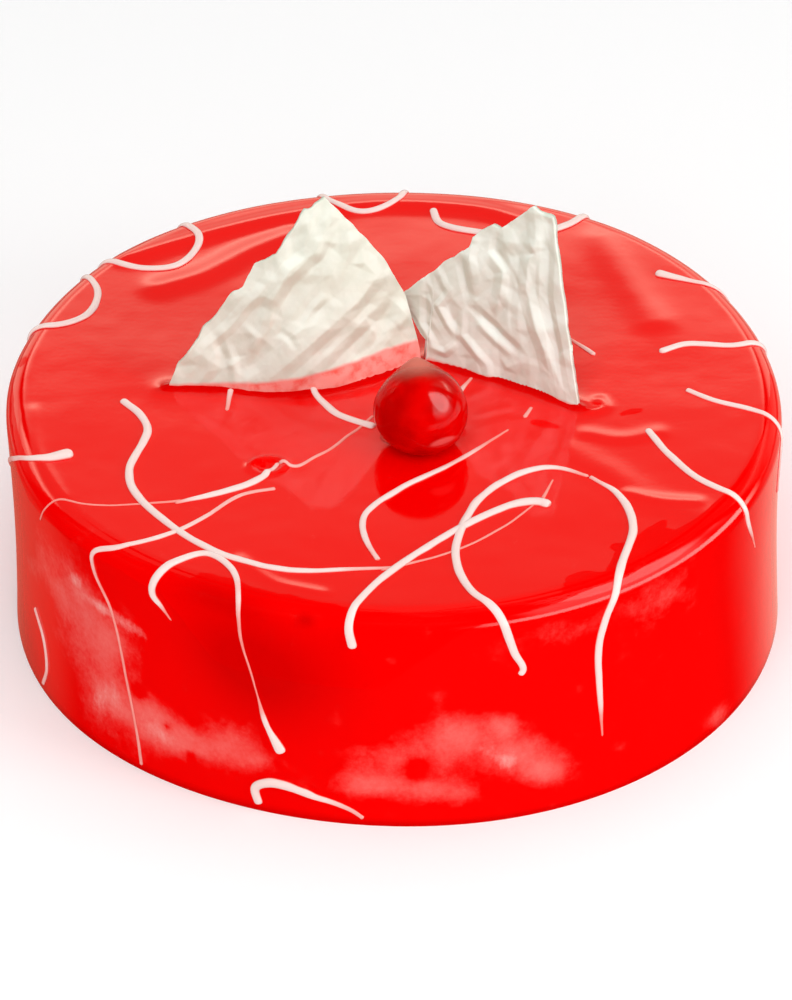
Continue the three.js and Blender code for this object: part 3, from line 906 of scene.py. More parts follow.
STRANDS: dict[str, Strand] = {
    "left_curve": Strand((2.3, 2.2, 2.2, 2, 1.1), (
        (-70, -3.5), (-65, -10.5), (-63, -16.5), (-64, -23), (-67, -34), (-66, -43.5), (-58, -57.5),
        (-44.5, -72), (-27.5, -80), (-8, -79.5), (0, -79))),
    "left_curve_thread": Strand((1, 0.7, 0.7, 0.6), (
        (-4, -80), (6, -76), (14, -72), (22, -66), (29.5, -58.5), (34.5, -52))),
    "dimple_thread": Strand((0.5, 0.6, 0.6, 0.9), (
        (-95.5, -47), (-89, -47.3), (-84.5, -47.2), (-79, -49.5), (-72.5, -50.5), (-63.5, -50),
        (-53.5, -49))),
    "dimple_tail": Strand((1.1, 2.2, 2.3, 1.4), (
        (-55.5, -50), (-43.5, -45.5), (-37.5, -42.5), (-33.5, -39), (-31, -35), (-29.5, -32.5))),
    "dimple_to_cherry": Strand((1.3, 1, 0.9, 0.8), (
        (-29.5, -33), (-28.5, -33), (-25, -34.5), (-21, -31), (-16, -26.5), (-12, -21), (-9, -17.5),
        (-5.5, -12))),
    "corner_and_fall": Strand((1.2, 1.3, 1.6, 1.5, 1.0, 0.85, 0.85, 1.0), (
        (-30, -44), (-39, -47), (-47.5, -56), (-55, -62.5), (-68, -68), (-77, -66.5), (-81, -70.5),
        (-83.5, -81), (-93.5, -99), (-100.5, -114), (-104.5, -121.5))),
    "front_hook": Strand((0.5, 2.2, 2.4, 2.0, 1.8, 1.4, 0.9, 0.6, 0.5, 1.6, 3.1), (
        (-62.5, -91.5), (-63, -87), (-63.5, -83), (-58, -78), (-47.5, -72.5), (-41, -79.5), (-39.5, -90.5),
        (-43, -101.5), (-44.5, -115.5), (-45, -126.5), (-42, -136.5))),
    "left_shard_tick": Strand((1.6, 1), ((-42, 0), (-43, -9))),
    "shard_to_cherry": Strand((1.6, 2.2, 2.5), (
        (-21.5, 1), (-20.5, -2), (-18, -6.5), (-14.5, -11.5), (-5, -17.5))),
    "centre_comma": Strand((0.6, 1.4, 1.9, 1.8, 1.4), (
        (29, -19), (15, -33.5), (1, -45), (-7.5, -55.5), (-8, -65), (-4.5, -76))),
    "big_loop": Strand((1.8, 2.3, 2.2, 2.2, 2.2, 2.2, 1.1), (
        (35, -113), (35.5, -111), (31.5, -106.5), (24.5, -96), (18, -88.5), (14.5, -75), (16, -63), (22, -48),
        (33, -38), (40, -36.5), (48.5, -40.5))),
    "big_loop_fall": Strand((1.2, 2.2, 2.2, 2.2, 2.1, 1.8, 0.5), (
        (48.5, -40.5), (55, -48), (58, -61), (53.5, -83.5), (56, -99.5), (65.5, -115), (72, -124.5))),
    "front_diagonal": Strand((3.1, 2.3, 2.2, 2.2, 2, 2.3), (
        (38.5, -53), (35.5, -51.5), (30.5, -52), (19.5, -59), (5.5, -72.5), (-5, -85.5), (-12, -99.5),
        (-12, -107))),
    "front_spike": Strand((1, 0.5), ((36.5, -50), (39.5, -41.5))),
    "right_curve": Strand((2, 2.1, 2, 1.6, 0.5), (
        (64, -20), (69, -31.5), (75.5, -42), (83.5, -48.5), (90.5, -51.5), (107, -51))),
    "right_rim_low": Strand((1.6, 1.8, 1.6, 1.1), ((75, -2), (81.5, -7), (92, -12), (104, -19), (115, -24))),
    "right_rim_mid": Strand((2.2, 2, 1.8, 1.3), (
        (69, 15.5), (76, 19), (90.5, 18.5), (103.5, 24), (114.5, 26.5), (126, 27.5))),
    "right_rim_high": Strand((2.9, 1.6, 1.6, 1.3), (
        (69.5, 53.5), (76.5, 50.5), (83.5, 48), (92, 46.5), (103, 47.5))),
    "back_right_loop": Strand((2.2, 2.5, 2.5, 2.5, 2, 1.3), (
        (11, 87), (13, 79.5), (22, 75), (33.5, 73.5), (44.5, 76), (51.5, 83), (54, 94), (51, 106),
        (45, 118))),
    "back_loop": Strand((1.3, 2, 2, 2, 1.3), (
        (-23.5, 120.5), (-22, 106), (-17, 92), (-8, 86), (1.5, 92), (5, 106), (9, 120.5), (7, 135))),
    "back_left_loop": Strand((1.4, 2.2, 2.2, 2, 1.3), (
        (-66, 94), (-58, 84), (-51, 72), (-56.5, 59.5), (-65.5, 58), (-79, 65), (-90, 71), (-101, 80))),
    "left_rim_loop": Strand((1.3, 2, 2.2, 2.2, 1.8, 1.1), (
        (-94, 64), (-84, 60), (-77, 48), (-80, 36), (-88.5, 31.5), (-102, 35), (-115, 41), (-128, 41))),
    "left_drop": Strand((4, 1.4, 1.4, 1.3, 1.1), (
        (-81.5, -27.5), (-90, -29.5), (-97.5, -25), (-113, -8.5), (-124, 6))),
    "behind_shards": Strand((0.9, 1.4), ((44.5, 24), (52, 14.5))),
    "cherry_tick": Strand((0.9, 1.8), ((20, 4.5), (17.5, 0), (15.5, -5))),
    "right_shard_tick": Strand((0.9, 1.2), ((35, -9), (33, -14))),
    "left_foot": Strand((1.3, 1.4, 1.3), ((-129.5, -50.5), (-131.5, -61.5), (-137.5, -67), (-145.5, -66))),
    "front_foot_hook": Strand((2.2, 2.7, 2.2, 1.4, 1.1), (
        (-56.5, -149.5), (-56.5, -144.5), (-50, -144), (-32.5, -151), (-19.5, -156), (-14.5, -159))),
    "rear_hook": Strand((2, 2.2, 1.6, 2.5), ((18, 98), (25, 111), (32.5, 125.5), (30, 140.5), (22.5, 148))),
    "rear_arch": Strand((1.8, 2.2, 2.2, 1.4), (
        (72, 70), (81, 83), (94.5, 88.5), (106, 82.5), (111, 68.5), (121.5, 57))),
    "rear_comma": Strand((1.3, 2, 1.8, 1.3), (
        (-110.5, 57), (-104, 73), (-94.5, 82.5), (-82.5, 94.5), (-78.5, 109.5))),
    "rear_foot": Strand((1.3, 2.3, 2.2, 1.3), (
        (-60.5, 136.5), (-49, 129), (-35, 131), (-23.5, 140.5), (-8, 148))),
}


@dataclass
class Drizzle:
    """All the white strands, joined in one piece that lies half sunk in the glaze."""

    skin: Skin
    step: float = 0.5
    least_steps: int = 8
    rough_points: int = 200
    sides: int = 16
    rise: float = 0.38
    sink: float = 0.5
    wobble: float = 0.12
    uneven_width: float = 0.10
    uneven_size: float = 5.0
    thin: float = 0.7
    thick: float = 2.1
    thin_milk: float = 0.40
    # Painted shade: round its section the strand is white above white_above, darkening to dark red at
    # sunk_below.
    sunk_below: float = -0.08
    white_above: float = 0.47

    def build(self) -> bpy.types.Object:
        """Model and dress the drizzle."""
        whole = bmesh.new()
        milk_and_shade = [self.add_strand(whole, strand, number) for number, strand in enumerate(STRANDS.values())]
        store(whole, "milk_and_shade", np.concatenate(milk_and_shade))
        return finish_mesh(whole, "drizzle", DrizzleFinish().build())

    def add_strand(self, whole: bmesh.types.BMesh, strand: Strand, number: int) -> np.ndarray:
        """Roll a grid into one strand's tube and add it.

        Args:
            whole: The bmesh that takes the strand.
            strand: Its route and widths.
            number: Its place in the list, which seeds its unevenness.

        Returns:
            How milky each of its vertices is, from 0 to 1.
        """
        rough = catmull_rom(strand.route, self.rough_points)
        length = np.linalg.norm(np.diff(rough, axis=0), axis=1).sum()
        steps = max(self.least_steps, int(length / self.step))
        line = catmull_rom(strand.route, steps + 1)
        share = np.linspace(0, 1, steps + 1)
        along = np.stack([share * length, np.full_like(share, number), 0 * share], 1)
        uneven = noise_at(along, self.uneven_size, 3.0 + number)
        width = self.width_along(strand.widths, share) * (1 + self.uneven_width * uneven)
        way = unit(np.gradient(line, axis=0))
        line[:, 0] += -way[:, 1] * uneven * self.wobble
        line[:, 1] += way[:, 0] * uneven * self.wobble
        middle = self.skin.place(line[:, 0], line[:, 1])
        up = self.skin.normal(line[:, 0], line[:, 1])
        side = unit(np.cross(unit(np.gradient(middle, axis=0)), up))
        to_end = np.minimum(share, 1 - share) * length
        cap = np.sqrt(np.clip(1 - (1 - np.clip(to_end / (width * 0.5), 0, 1)) ** 2, 0, 1))
        bm, at, turn = grid(steps, self.sides)
        i = np.rint(at * steps).astype(int)
        angle = turn * 2 * math.pi
        height = np.sin(angle)
        across = np.cos(angle) * (width[i] * 0.5 * cap[i])
        lift = np.where(height > 0, height * width[i] * self.rise * cap[i], height * self.sink * cap[i])
        shape(bm, middle[i] + side[i] * across[:, None] + up[i] * lift[:, None])
        thick = smooth((width[i] - self.thin) / (self.thick - self.thin))
        # Painted shade: whiter on top of the strand, darker towards its edge on the glaze.
        white = smooth((height - self.sunk_below) / (self.white_above - self.sunk_below))
        store(bm, "milk_and_shade", mix(self.thin_milk, 1.0, thick) * white)
        close_up(bm, 1e-6)
        layer = bm.verts.layers.float["milk_and_shade"]
        kept = np.array([vert[layer] for vert in bm.verts])
        bm.verts.layers.float.remove(layer)
        mesh = bpy.data.meshes.new("strand")
        bm.to_mesh(mesh)
        bm.free()
        whole.from_mesh(mesh)
        bpy.data.meshes.remove(mesh)
        return kept

    def width_along(self, widths: tuple[float, ...], share: np.ndarray) -> np.ndarray:
        """Ease through the widths at even shares of the way."""
        place = share * (len(widths) - 1)
        i = np.minimum(place.astype(int), len(widths) - 2)
        w = np.array(widths)
        return mix(w[i], w[i + 1], smooth(place - i))


# ---------------------------------------------------------------- the shards


@dataclass
class Crumple:
    """Flat facets with sharp creases between them, as foil leaves when it is crumpled and opened.

    Seeded points carry a height each, and a height in between is read off the triangle of points.
    """

    seed: int
    spacing: float
    stretch: float
    turn: float
    depth: float
    low: tuple[float, float] = (-16.0, -14.0)
    high: tuple[float, float] = (74.0, 58.0)
    cover: float = 0.75
    jitter: float = 0.42
    soft: float = 0.22

    def __post_init__(self) -> None:
        """Draw the points and triangles."""
        rng = np.random.default_rng(self.seed)
        low = np.array(self.low)
        high = np.array(self.high)
        reach = (high - low).max() * self.cover
        rows = []
        for i in range(int(2 * reach / self.spacing) + 2):
            for j in range(int(2 * reach / (self.spacing * self.stretch)) + 2):
                jitter = rng.uniform(-self.jitter, self.jitter, 2)
                rows.append(((i + jitter[0] + 0.5 * (j % 2)) * self.spacing - reach,
                             (j + jitter[1]) * self.spacing * self.stretch - reach))
        x, y = np.array(rows).T
        c = math.cos(math.radians(self.turn))
        s = math.sin(math.radians(self.turn))
        self.points = (low + high) / 2 + np.stack([x * s + y * c, -x * c + y * s], 1)
        self.heights = rng.uniform(-1, 1, len(x)) * self.depth
        result = geometry.delaunay_2d_cdt([Vector(p) for p in self.points], [], [], 0, 1e-6)
        self.triangles = [tuple(face) for face in result[2]]

    def height(self, p: np.ndarray, q: np.ndarray) -> np.ndarray:
        """Heights at places (p, q), with creases rounded a little."""
        shifts = ((0, 0), (self.soft, 0), (-self.soft, 0), (0, self.soft), (0, -self.soft))
        return sum(self.exact(p + dp, q + dq) for dp, dq in shifts) / len(shifts)

    def exact(self, p: np.ndarray, q: np.ndarray) -> np.ndarray:
        """Read heights straight off the triangles.

        Args:
            p: Places along the sheet, in millimetres.
            q: The same, up the sheet.

        Returns:
            Heights in millimetres, 0 where no triangle lies.
        """
        out = np.zeros_like(p)
        for face in self.triangles:
            corners = self.points[list(face)]
            (p_low, q_low), (p_high, q_high) = corners.min(axis=0), corners.max(axis=0)
            near = np.flatnonzero((p >= p_low) & (p <= p_high) & (q >= q_low) & (q <= q_high))
            first, ahead, beside = corners[0], corners[1] - corners[0], corners[2] - corners[0]
            area = ahead[0] * beside[1] - ahead[1] * beside[0]
            if len(near) == 0 or abs(area) < TINY:
                continue
            dp = p[near] - first[0]
            dq = q[near] - first[1]
            wb = (dp * beside[1] - dq * beside[0]) / area
            wc = (ahead[0] * dq - ahead[1] * dp) / area
            weights = np.stack([1 - wb - wc, wb, wc])
            inside = (weights >= -TINY).all(axis=0)
            out[near[inside]] = (self.heights[list(face)] @ weights)[inside]
        return out


@dataclass(frozen=True)
class Fold:
    """One crease that stands out of a shard, or with a height below 0 sinks into it.

    Its line is listed from its upper end down as places (p, q) along and up the sheet. It slopes off
    over one reach towards the upper left of its line and over another towards the lower right, and
    fades towards both ends of the line.
    """

    height: float
    upper_reach: float
    lower_reach: float
    line: Line
    spread: float = 1.2
    at_ends: float = 0.15
    fade: float = 0.8
    blunt: float = 0.03

    def at(self, p: np.ndarray, q: np.ndarray) -> np.ndarray:
        """Find how far the crease lifts the sheet.

        Args:
            p: Places along the sheet, in millimetres.
            q: The same, up the sheet.

        Returns:
            Heights in millimetres.
        """
        best = np.full(p.shape, np.inf)
        reach = np.full(p.shape, self.lower_reach)
        done = np.zeros_like(p)
        before = 0.0
        for a, b in zip(self.line[:-1], self.line[1:]):
            length = math.dist(a, b)
            way = (b[0] - a[0], b[1] - a[1])
            along = ((p - a[0]) * way[0] + (q - a[1]) * way[1]) / (way[0] ** 2 + way[1] ** 2)
            t = np.clip(along, 0, 1)
            away = np.hypot(p - a[0] - t * way[0], q - a[1] - t * way[1])
            lower = way[0] * (q - a[1]) - way[1] * (p - a[0]) > 0
            nearer = away < best
            reach = np.where(nearer, np.where(lower, self.lower_reach, self.upper_reach), reach)
            done = np.where(nearer, before + t * length, done)
            best = np.minimum(best, away)
            before += length
        strong = mix(self.at_ends, 1.0, np.sin(math.pi * np.clip(done / before, 0, 1)) ** self.fade)
        slope = 1.0 - np.sqrt(best ** 2 + self.blunt) / (reach * self.spread)
        return self.height * strong * np.maximum(0.0, slope)


@dataclass
class Shard:
    """One shard: a bent, crumpled sheet that leans back out of its slot in the top."""

    name: str
    node: str
    lean: float
    foot: Line
    top: Line
    bottom: Line
    folds: tuple[Fold, ...]
    crumples: tuple[Crumple, ...]
    stain: Line
    finish: ShardFinish
    height: float = 64.0
    thickness: float = 1.5
    columns: int = 168
    rows: int = 130
    foot_points: int = 60
    fold_share: float = 0.9
    ragged: float = 0.35
    ragged_sizes: tuple[float, float] = (2.2, 0.9)
    # Painted light and shade: the light's direction on the sheet, and how strongly facets are painted lit or
    # shaded.
    light: tuple[float, float] = (0.3, 0.95)
    contrast: float = 1.3
    tone_reach: float = 0.3
    stain_edge: float = 0.6
    stain_blur: float = 3.0

    def relief(self, p: np.ndarray, q: np.ndarray) -> np.ndarray:
        """How far creases and facets lift the sheet at places (p, q), in millimetres."""
        folded = self.fold_share * sum(fold.at(p, q) for fold in self.folds)
        return folded + sum(crumple.height(p, q) for crumple in self.crumples)

    def tone(self, p: np.ndarray, q: np.ndarray) -> np.ndarray:
        """How much facets at places (p, q) face the light from above, 0.5 where the sheet is flat."""
        reach = self.tone_reach
        across = (self.relief(p + reach, q) - self.relief(p - reach, q)) / (2 * reach)
        rising = (self.relief(p, q + reach) - self.relief(p, q - reach)) / (2 * reach)
        return np.clip(0.5 - self.contrast * (across * self.light[0] + rising * self.light[1]), 0, 1)

    def foot_line(self, count: int) -> np.ndarray:
        """The bent line on which the shard stands, as places x, y."""
        return catmull_rom(self.foot, count)

    def damp(self, p: np.ndarray, q: np.ndarray) -> np.ndarray:
        """How far red glaze has soaked into places (p, q), from 0 to 1."""
        wet = np.interp(p, *np.array(self.stain).T)
        return np.clip(self.stain_edge - (q - wet) / self.stain_blur, 0, 1) * (wet > 0)

    def spread(self, share: np.ndarray, rise: np.ndarray) -> tuple[np.ndarray, np.ndarray]:
        """Spread a grid over the sheet's outline.

        Args:
            share: Shares across.
            rise: Shares up.

        Returns:
            The places p along the sheet and q up it, in millimetres.
        """
        along, tops = np.array(self.top).T
        p = along[0] + (along.max() - along[0]) * share
        edge = np.stack([p, np.zeros_like(p), np.zeros_like(p)], 1)
        coarse, fine = self.ragged_sizes
        broken = noise_at(edge, coarse, 5.0 + len(self.name)) + 0.5 * noise_at(edge, fine, 9.0)
        high = np.interp(p, along, tops) + self.ragged * broken
        low = np.interp(p, *np.array(self.bottom).T)
        return p, low + (np.maximum(high, low + 0.5) - low) * rise

    def build(self) -> bpy.types.Object:
        """Model and dress the shard."""
        bm, share, rise = grid(self.columns, self.rows)
        p, q = self.spread(share, rise)
        line = self.foot_line(self.foot_points)
        start = np.array([*line[0], self.height])
        chord = np.array([*(line[-1] - line[0]), 0.0])
        length = np.linalg.norm(chord)
        chord /= length
        back = np.array([-chord[1], chord[0], 0.0])
        tilt = math.radians(self.lean)
        up = np.array([0, 0, math.cos(tilt)]) + back * math.sin(tilt)
        out = np.cross(chord, up)
        offset = (np.column_stack([line, np.full(len(line), self.height)]) - start) @ out
        bowed = np.interp(np.clip(p / length, 0, 1), np.linspace(0, 1, len(line)), offset)
        push = bowed + self.relief(p, q)
        shape(bm, start + p[:, None] * chord + q[:, None] * up + push[:, None] * out)
        store(bm, "stain", self.damp(p, q))
        # Painted light and shade of the facets, kept for the finish to read.
        store(bm, "tone", self.tone(p, q))
        bmesh.ops.recalc_face_normals(bm, faces=bm.faces[:])
        bmesh.ops.translate(bm, verts=bm.verts[:], vec=Vector(out * self.thickness * 0.5 * MM))
        bmesh.ops.solidify(bm, geom=bm.faces[:], thickness=self.thickness * MM)
        bmesh.ops.recalc_face_normals(bm, faces=bm.faces[:])
        return finish_mesh(bm, self.name, self.finish.build())


# ---------------------------------------------------------------- the cherry


@dataclass(frozen=True)
class Spot:
    """An oval on the ball: the direction of its middle, half its width and height, and its turn."""

    towards: Triple
    half_width: float
    half_height: float
    turn: float
    right: Triple = (1, 0, 0)
    up: Triple = (0, 0.574, 0.819)
    edge: float = 1.3
    blur: float = 0.5

    def at(self, direction: Vector) -> float:
        """Find how far a direction lies inside the oval.

        Args:
            direction: A direction from the ball's middle, of length 1.

        Returns:
            A share from 0 outside to 1 inside.
        """
        middle = Vector(self.towards).normalized()
        if direction.dot(middle) < 0:
            return 0.0
        away = direction - middle
        right = away.dot(Vector(self.right))
        up = away.dot(Vector(self.up))
        c = math.cos(math.radians(self.turn))
        s = math.sin(math.radians(self.turn))
        out = math.hypot((right * c + up * s) / self.half_width, (up * c - right * s) / self.half_height)
        return float(smooth((self.edge - out) / self.blur))


@dataclass
class Cherry:
    """A cocktail cherry in a hollow of the top, with a film of clear jelly drawn up over it."""

    skin: Skin
    at: tuple[float, float] = (6.6, -24.6)
    radius: float = 12.0
    squash: float = 0.92
    sunk: float = 1.3
    tip: float = 0.6
    tip_power: int = 12
    lump: float = 0.25
    lump_size: float = 9.0
    rings: int = 96
    sectors: int = 144
    wet_spot: Spot = Spot((0.40, -0.587, 0.705), 0.27, 0.36, 0.0)
    glint_spot: Spot = Spot((0.445, -0.878, -0.178), 0.25, 0.055, 19.0)
    film_gap: float = 0.3
    film_thickness: float = 0.3
    film_apex: float = 1.26
    film_blunt: float = 0.10
    film_lean: tuple[float, float] = (22.0, -5.0)
    film_reach: float = 125.0
    film_rings: int = 44
    body_reach: tuple[float, float] = (1.15, 0.9)
    fade_height: float = 3.0
    skirt_height: float = 5.0
    skirt_out: float = 4.0
    skirt_way: float = 175.0

    @property
    def middle(self) -> np.ndarray:
        """The ball's middle in millimetres."""
        return np.array([*self.at, self.skin.height + self.radius * self.squash - self.sunk])

    @property
    def tangent(self) -> float:
        """Angle from the film's apex, in radians, at which its straight flank meets the ball."""
        return math.acos(1 / self.film_apex)

    def foot_line(self, count: int) -> np.ndarray:
        """The circle on which the ball meets the top, as places x, y."""
        deep = 1 - self.sunk / (self.radius * self.squash)
        contact = self.radius * math.sqrt(1 - deep ** 2)
        ring = np.linspace(0, 2 * math.pi, count)
        return np.stack([self.at[0] + contact * np.cos(ring), self.at[1] + contact * np.sin(ring)], 1)

    def turned(self, outline: list[tuple[float, float]], closed: bool) -> bmesh.types.BMesh:
        """Spin an outline about an upright axis through the ball's middle, which stays at the origin.

        Args:
            outline: Places (radius, height) from the ball's middle, in millimetres.
            closed: Whether the outline's last point joins its first.

        Returns:
            The bmesh, a little uneven as fruit is.
        """
        bm = bmesh.new()
        verts = [bm.verts.new((r * MM, 0, z * MM)) for r, z in outline]
        ends = verts[1:] + verts[:1] if closed else verts[1:]
        edges = [bm.edges.new(pair) for pair in zip(verts, ends)]
        bmesh.ops.spin(bm, geom=verts + edges, axis=(0, 0, 1), cent=(0, 0, 0), angle=2 * math.pi,
                       steps=self.sectors, use_merge=True)
        close_up(bm, 1e-6)
        for vert in bm.verts:
            shift = noise.noise(vert.co / (self.lump_size * MM)) * self.lump * MM
            vert.co += vert.co.normalized() * shift
        return bm

    def build(self) -> tuple[bpy.types.Object, bpy.types.Object]:
        """Model and dress the cherry and its film."""
        return self.ball(), self.film()

    def ball(self) -> bpy.types.Object:
        """Model the ball, with a blunt tip on top."""
        outline = []
        for angle in (math.pi * i / self.rings for i in range(self.rings + 1)):
            tip = self.tip * max(0.0, math.cos(angle)) ** self.tip_power
            outline.append((self.radius * math.sin(angle), self.radius * self.squash * math.cos(angle) + tip))
        bm = self.turned(outline, False)
        for name, spot in (("wet", self.wet_spot), ("glint", self.glint_spot)):
            store(bm, name, [spot.at(vert.co.normalized()) for vert in bm.verts])
        bmesh.ops.translate(bm, verts=bm.verts[:], vec=Vector(self.middle * MM))
        return finish_mesh(bm, "cherry_ball", CherryFinish().build())

    def film(self) -> bpy.types.Object:
        """Model the film: a tent drawn up off the ball and back, with a skirt that runs out at its foot."""
        bm = self.turned(self.film_outline(), True)
        angles = [math.acos(max(-1.0, min(1.0, vert.co.normalized().z))) for vert in bm.verts]
        far, blur = (share * self.tangent for share in self.body_reach)
        store(bm, "body", [float(smooth((far - angle) / blur)) for angle in angles])
        back, left = (math.radians(angle) for angle in self.film_lean)
        turn = Matrix.Rotation(left, 3, "Y") @ Matrix.Rotation(-back, 3, "X")
        bmesh.ops.rotate(bm, verts=bm.verts[:], cent=(0, 0, 0), matrix=turn)
        foot = self.skin.height - self.middle[2]
        rises = [vert.co.z / MM - foot for vert in bm.verts]
        for vert, rise in zip(bm.verts, rises):
            way = math.atan2(vert.co.y, vert.co.x)
            near = max(0.0, math.cos(way - math.radians(self.skirt_way))) ** 2
            spread = self.skirt_out * near * max(0.0, min(1.0, 1 - rise / self.skirt_height)) ** 2
            vert.co += Vector((math.cos(way), math.sin(way), 0)) * spread * MM
        store(bm, "fade", [float(smooth(rise / self.fade_height)) for rise in rises])
        bmesh.ops.translate(bm, verts=bm.verts[:], vec=Vector(self.middle * MM))
        return finish_mesh(bm, "cherry_film", FilmFinish().build())

    def film_outline(self) -> list[tuple[float, float]]:
        """The film's section: out over the tented face and back along the inner one."""
        outer = []
        inner = []
        round_ball = self.radius * (1 + self.squash) / 2 + self.film_gap
        for i in range(self.film_rings + 1):
            angle = math.radians(self.film_reach) * i / self.film_rings
            blunt = math.hypot(angle, self.film_blunt)
            away = round_ball / math.cos(max(0.0, self.tangent - blunt))
            for face, out in ((outer, away), (inner, away - self.film_thickness)):
                face.append((out * math.sin(angle), out * math.cos(angle)))
        return outer + inner[::-1]


# ---------------------------------------------------------------- studio


@dataclass(frozen=True)
class Lamp:
    """A soft square light that faces the cake: name, place and size in metres, and watts."""

    name: str
    place: Triple
    size: tuple[float, float]
    power: float

    def hang(self, target: Triple) -> None:
        """Hang the light, which no shiny surface mirrors.

        Args:
            target: The place that it faces, in metres.
        """
        data = bpy.data.lights.new(self.name, "AREA")
        data.shape = "RECTANGLE"
        data.size, data.size_y = self.size
        data.energy = self.power
        lamp = bpy.data.objects.new(self.name, data)
        lamp.location = self.place
        lamp.rotation_euler = (Vector(target) - Vector(self.place)).to_track_quat("-Z", "Y").to_euler()
        lamp.visible_glossy = False
        bpy.context.scene.collection.objects.link(lamp)


@dataclass
class Studio:
    """Pale floor, soft lights and the camera at the photograph's angle."""

    elevation: float = 35.0
    distance: float = 1.5
    aim: Triple = (0.0, 0.0, 0.0292)
    roll: float = -0.75
    focal_pixels: float = 5761.0
    picture_height: float = 1000.0
    sensor: float = 36.0
    sees_to: float = 30.0
    floor_side: float = 8.0
    floor_colour: Triple = (0.90, 0.90, 0.90)
    floor_glow: float = 0.12
    lit: Triple = (0.0, 0.0, 0.06)
    lamps: tuple[Lamp, ...] = (
        Lamp("key_right", (0.80, -0.45, 0.42), (0.34, 0.40), 2.6),
        Lamp("fill_front", (-0.3, -1.5, 1.5), (1.6, 1.6), 19.0),
        Lamp("top_soft", (0.3, -0.2, 2.0), (2.2, 2.2), 11.0),
    )

    def camera(self) -> None:
        """Place the camera."""
        rise = math.radians(self.elevation)
        back = Vector((0, -math.cos(rise), math.sin(rise)))
        right = Vector((1, 0, 0))
        up = back.cross(right)
        turn = math.radians(self.roll)
        right_turned = right * math.cos(turn) + up * math.sin(turn)
        up_turned = up * math.cos(turn) - right * math.sin(turn)
        place = Vector(self.aim) + back * self.distance
        data = bpy.data.cameras.new("camera")
        data.sensor_width = self.sensor
        data.lens = self.focal_pixels / self.picture_height * self.sensor
        data.clip_end = self.sees_to
        camera = bpy.data.objects.new("camera", data)
        rows = Matrix(((*right_turned, 0), (*up_turned, 0), (*back, 0), (*place, 1)))
        camera.matrix_world = rows.transposed()
        bpy.context.scene.collection.objects.link(camera)
        bpy.context.scene.camera = camera

    def floor(self) -> None:
        """Lay the plain pale floor."""
        bm = bmesh.new()
        bmesh.ops.create_grid(bm, x_segments=1, y_segments=1, size=self.floor_side / 2)
        kit = MaterialKit("floor_pale")
        kit.set(Base_Color=self.floor_colour, Roughness=0.9, Emission_Color=(1.0, 1.0, 1.0),
                Emission_Strength=self.floor_glow)
        floor = finish_mesh(bm, "floor", kit.material)
        floor.visible_glossy = False

    def build(self) -> None:
        """Set up everything but the cake."""
        self.camera()
        self.floor()
        for lamp in self.lamps:
            lamp.hang(self.lit)
        world = bpy.data.worlds.new("studio_air")
        bpy.context.scene.world = world
        world.use_nodes = True
        world.node_tree.nodes.clear()
        WorldKit(world.node_tree).build()
        bpy.context.scene.view_settings.view_transform = "Standard"


Window = tuple[float, float, float, float]


@dataclass(frozen=True)
class Glow:
    """A glow that shiny surfaces see, over a window of heights and a window of ways round.

    A window names the degrees at which the glow starts, is full, starts to fade and ends.
    """

    heights: Window
    ways: Window
    strength: float = 1.0


@dataclass(frozen=True)
class Oval:
    """A soft oval light: way round and height of its middle, half its width and height, and strength."""

    way: float
    height: float
    half_width: float
    half_height: float
    strength: float


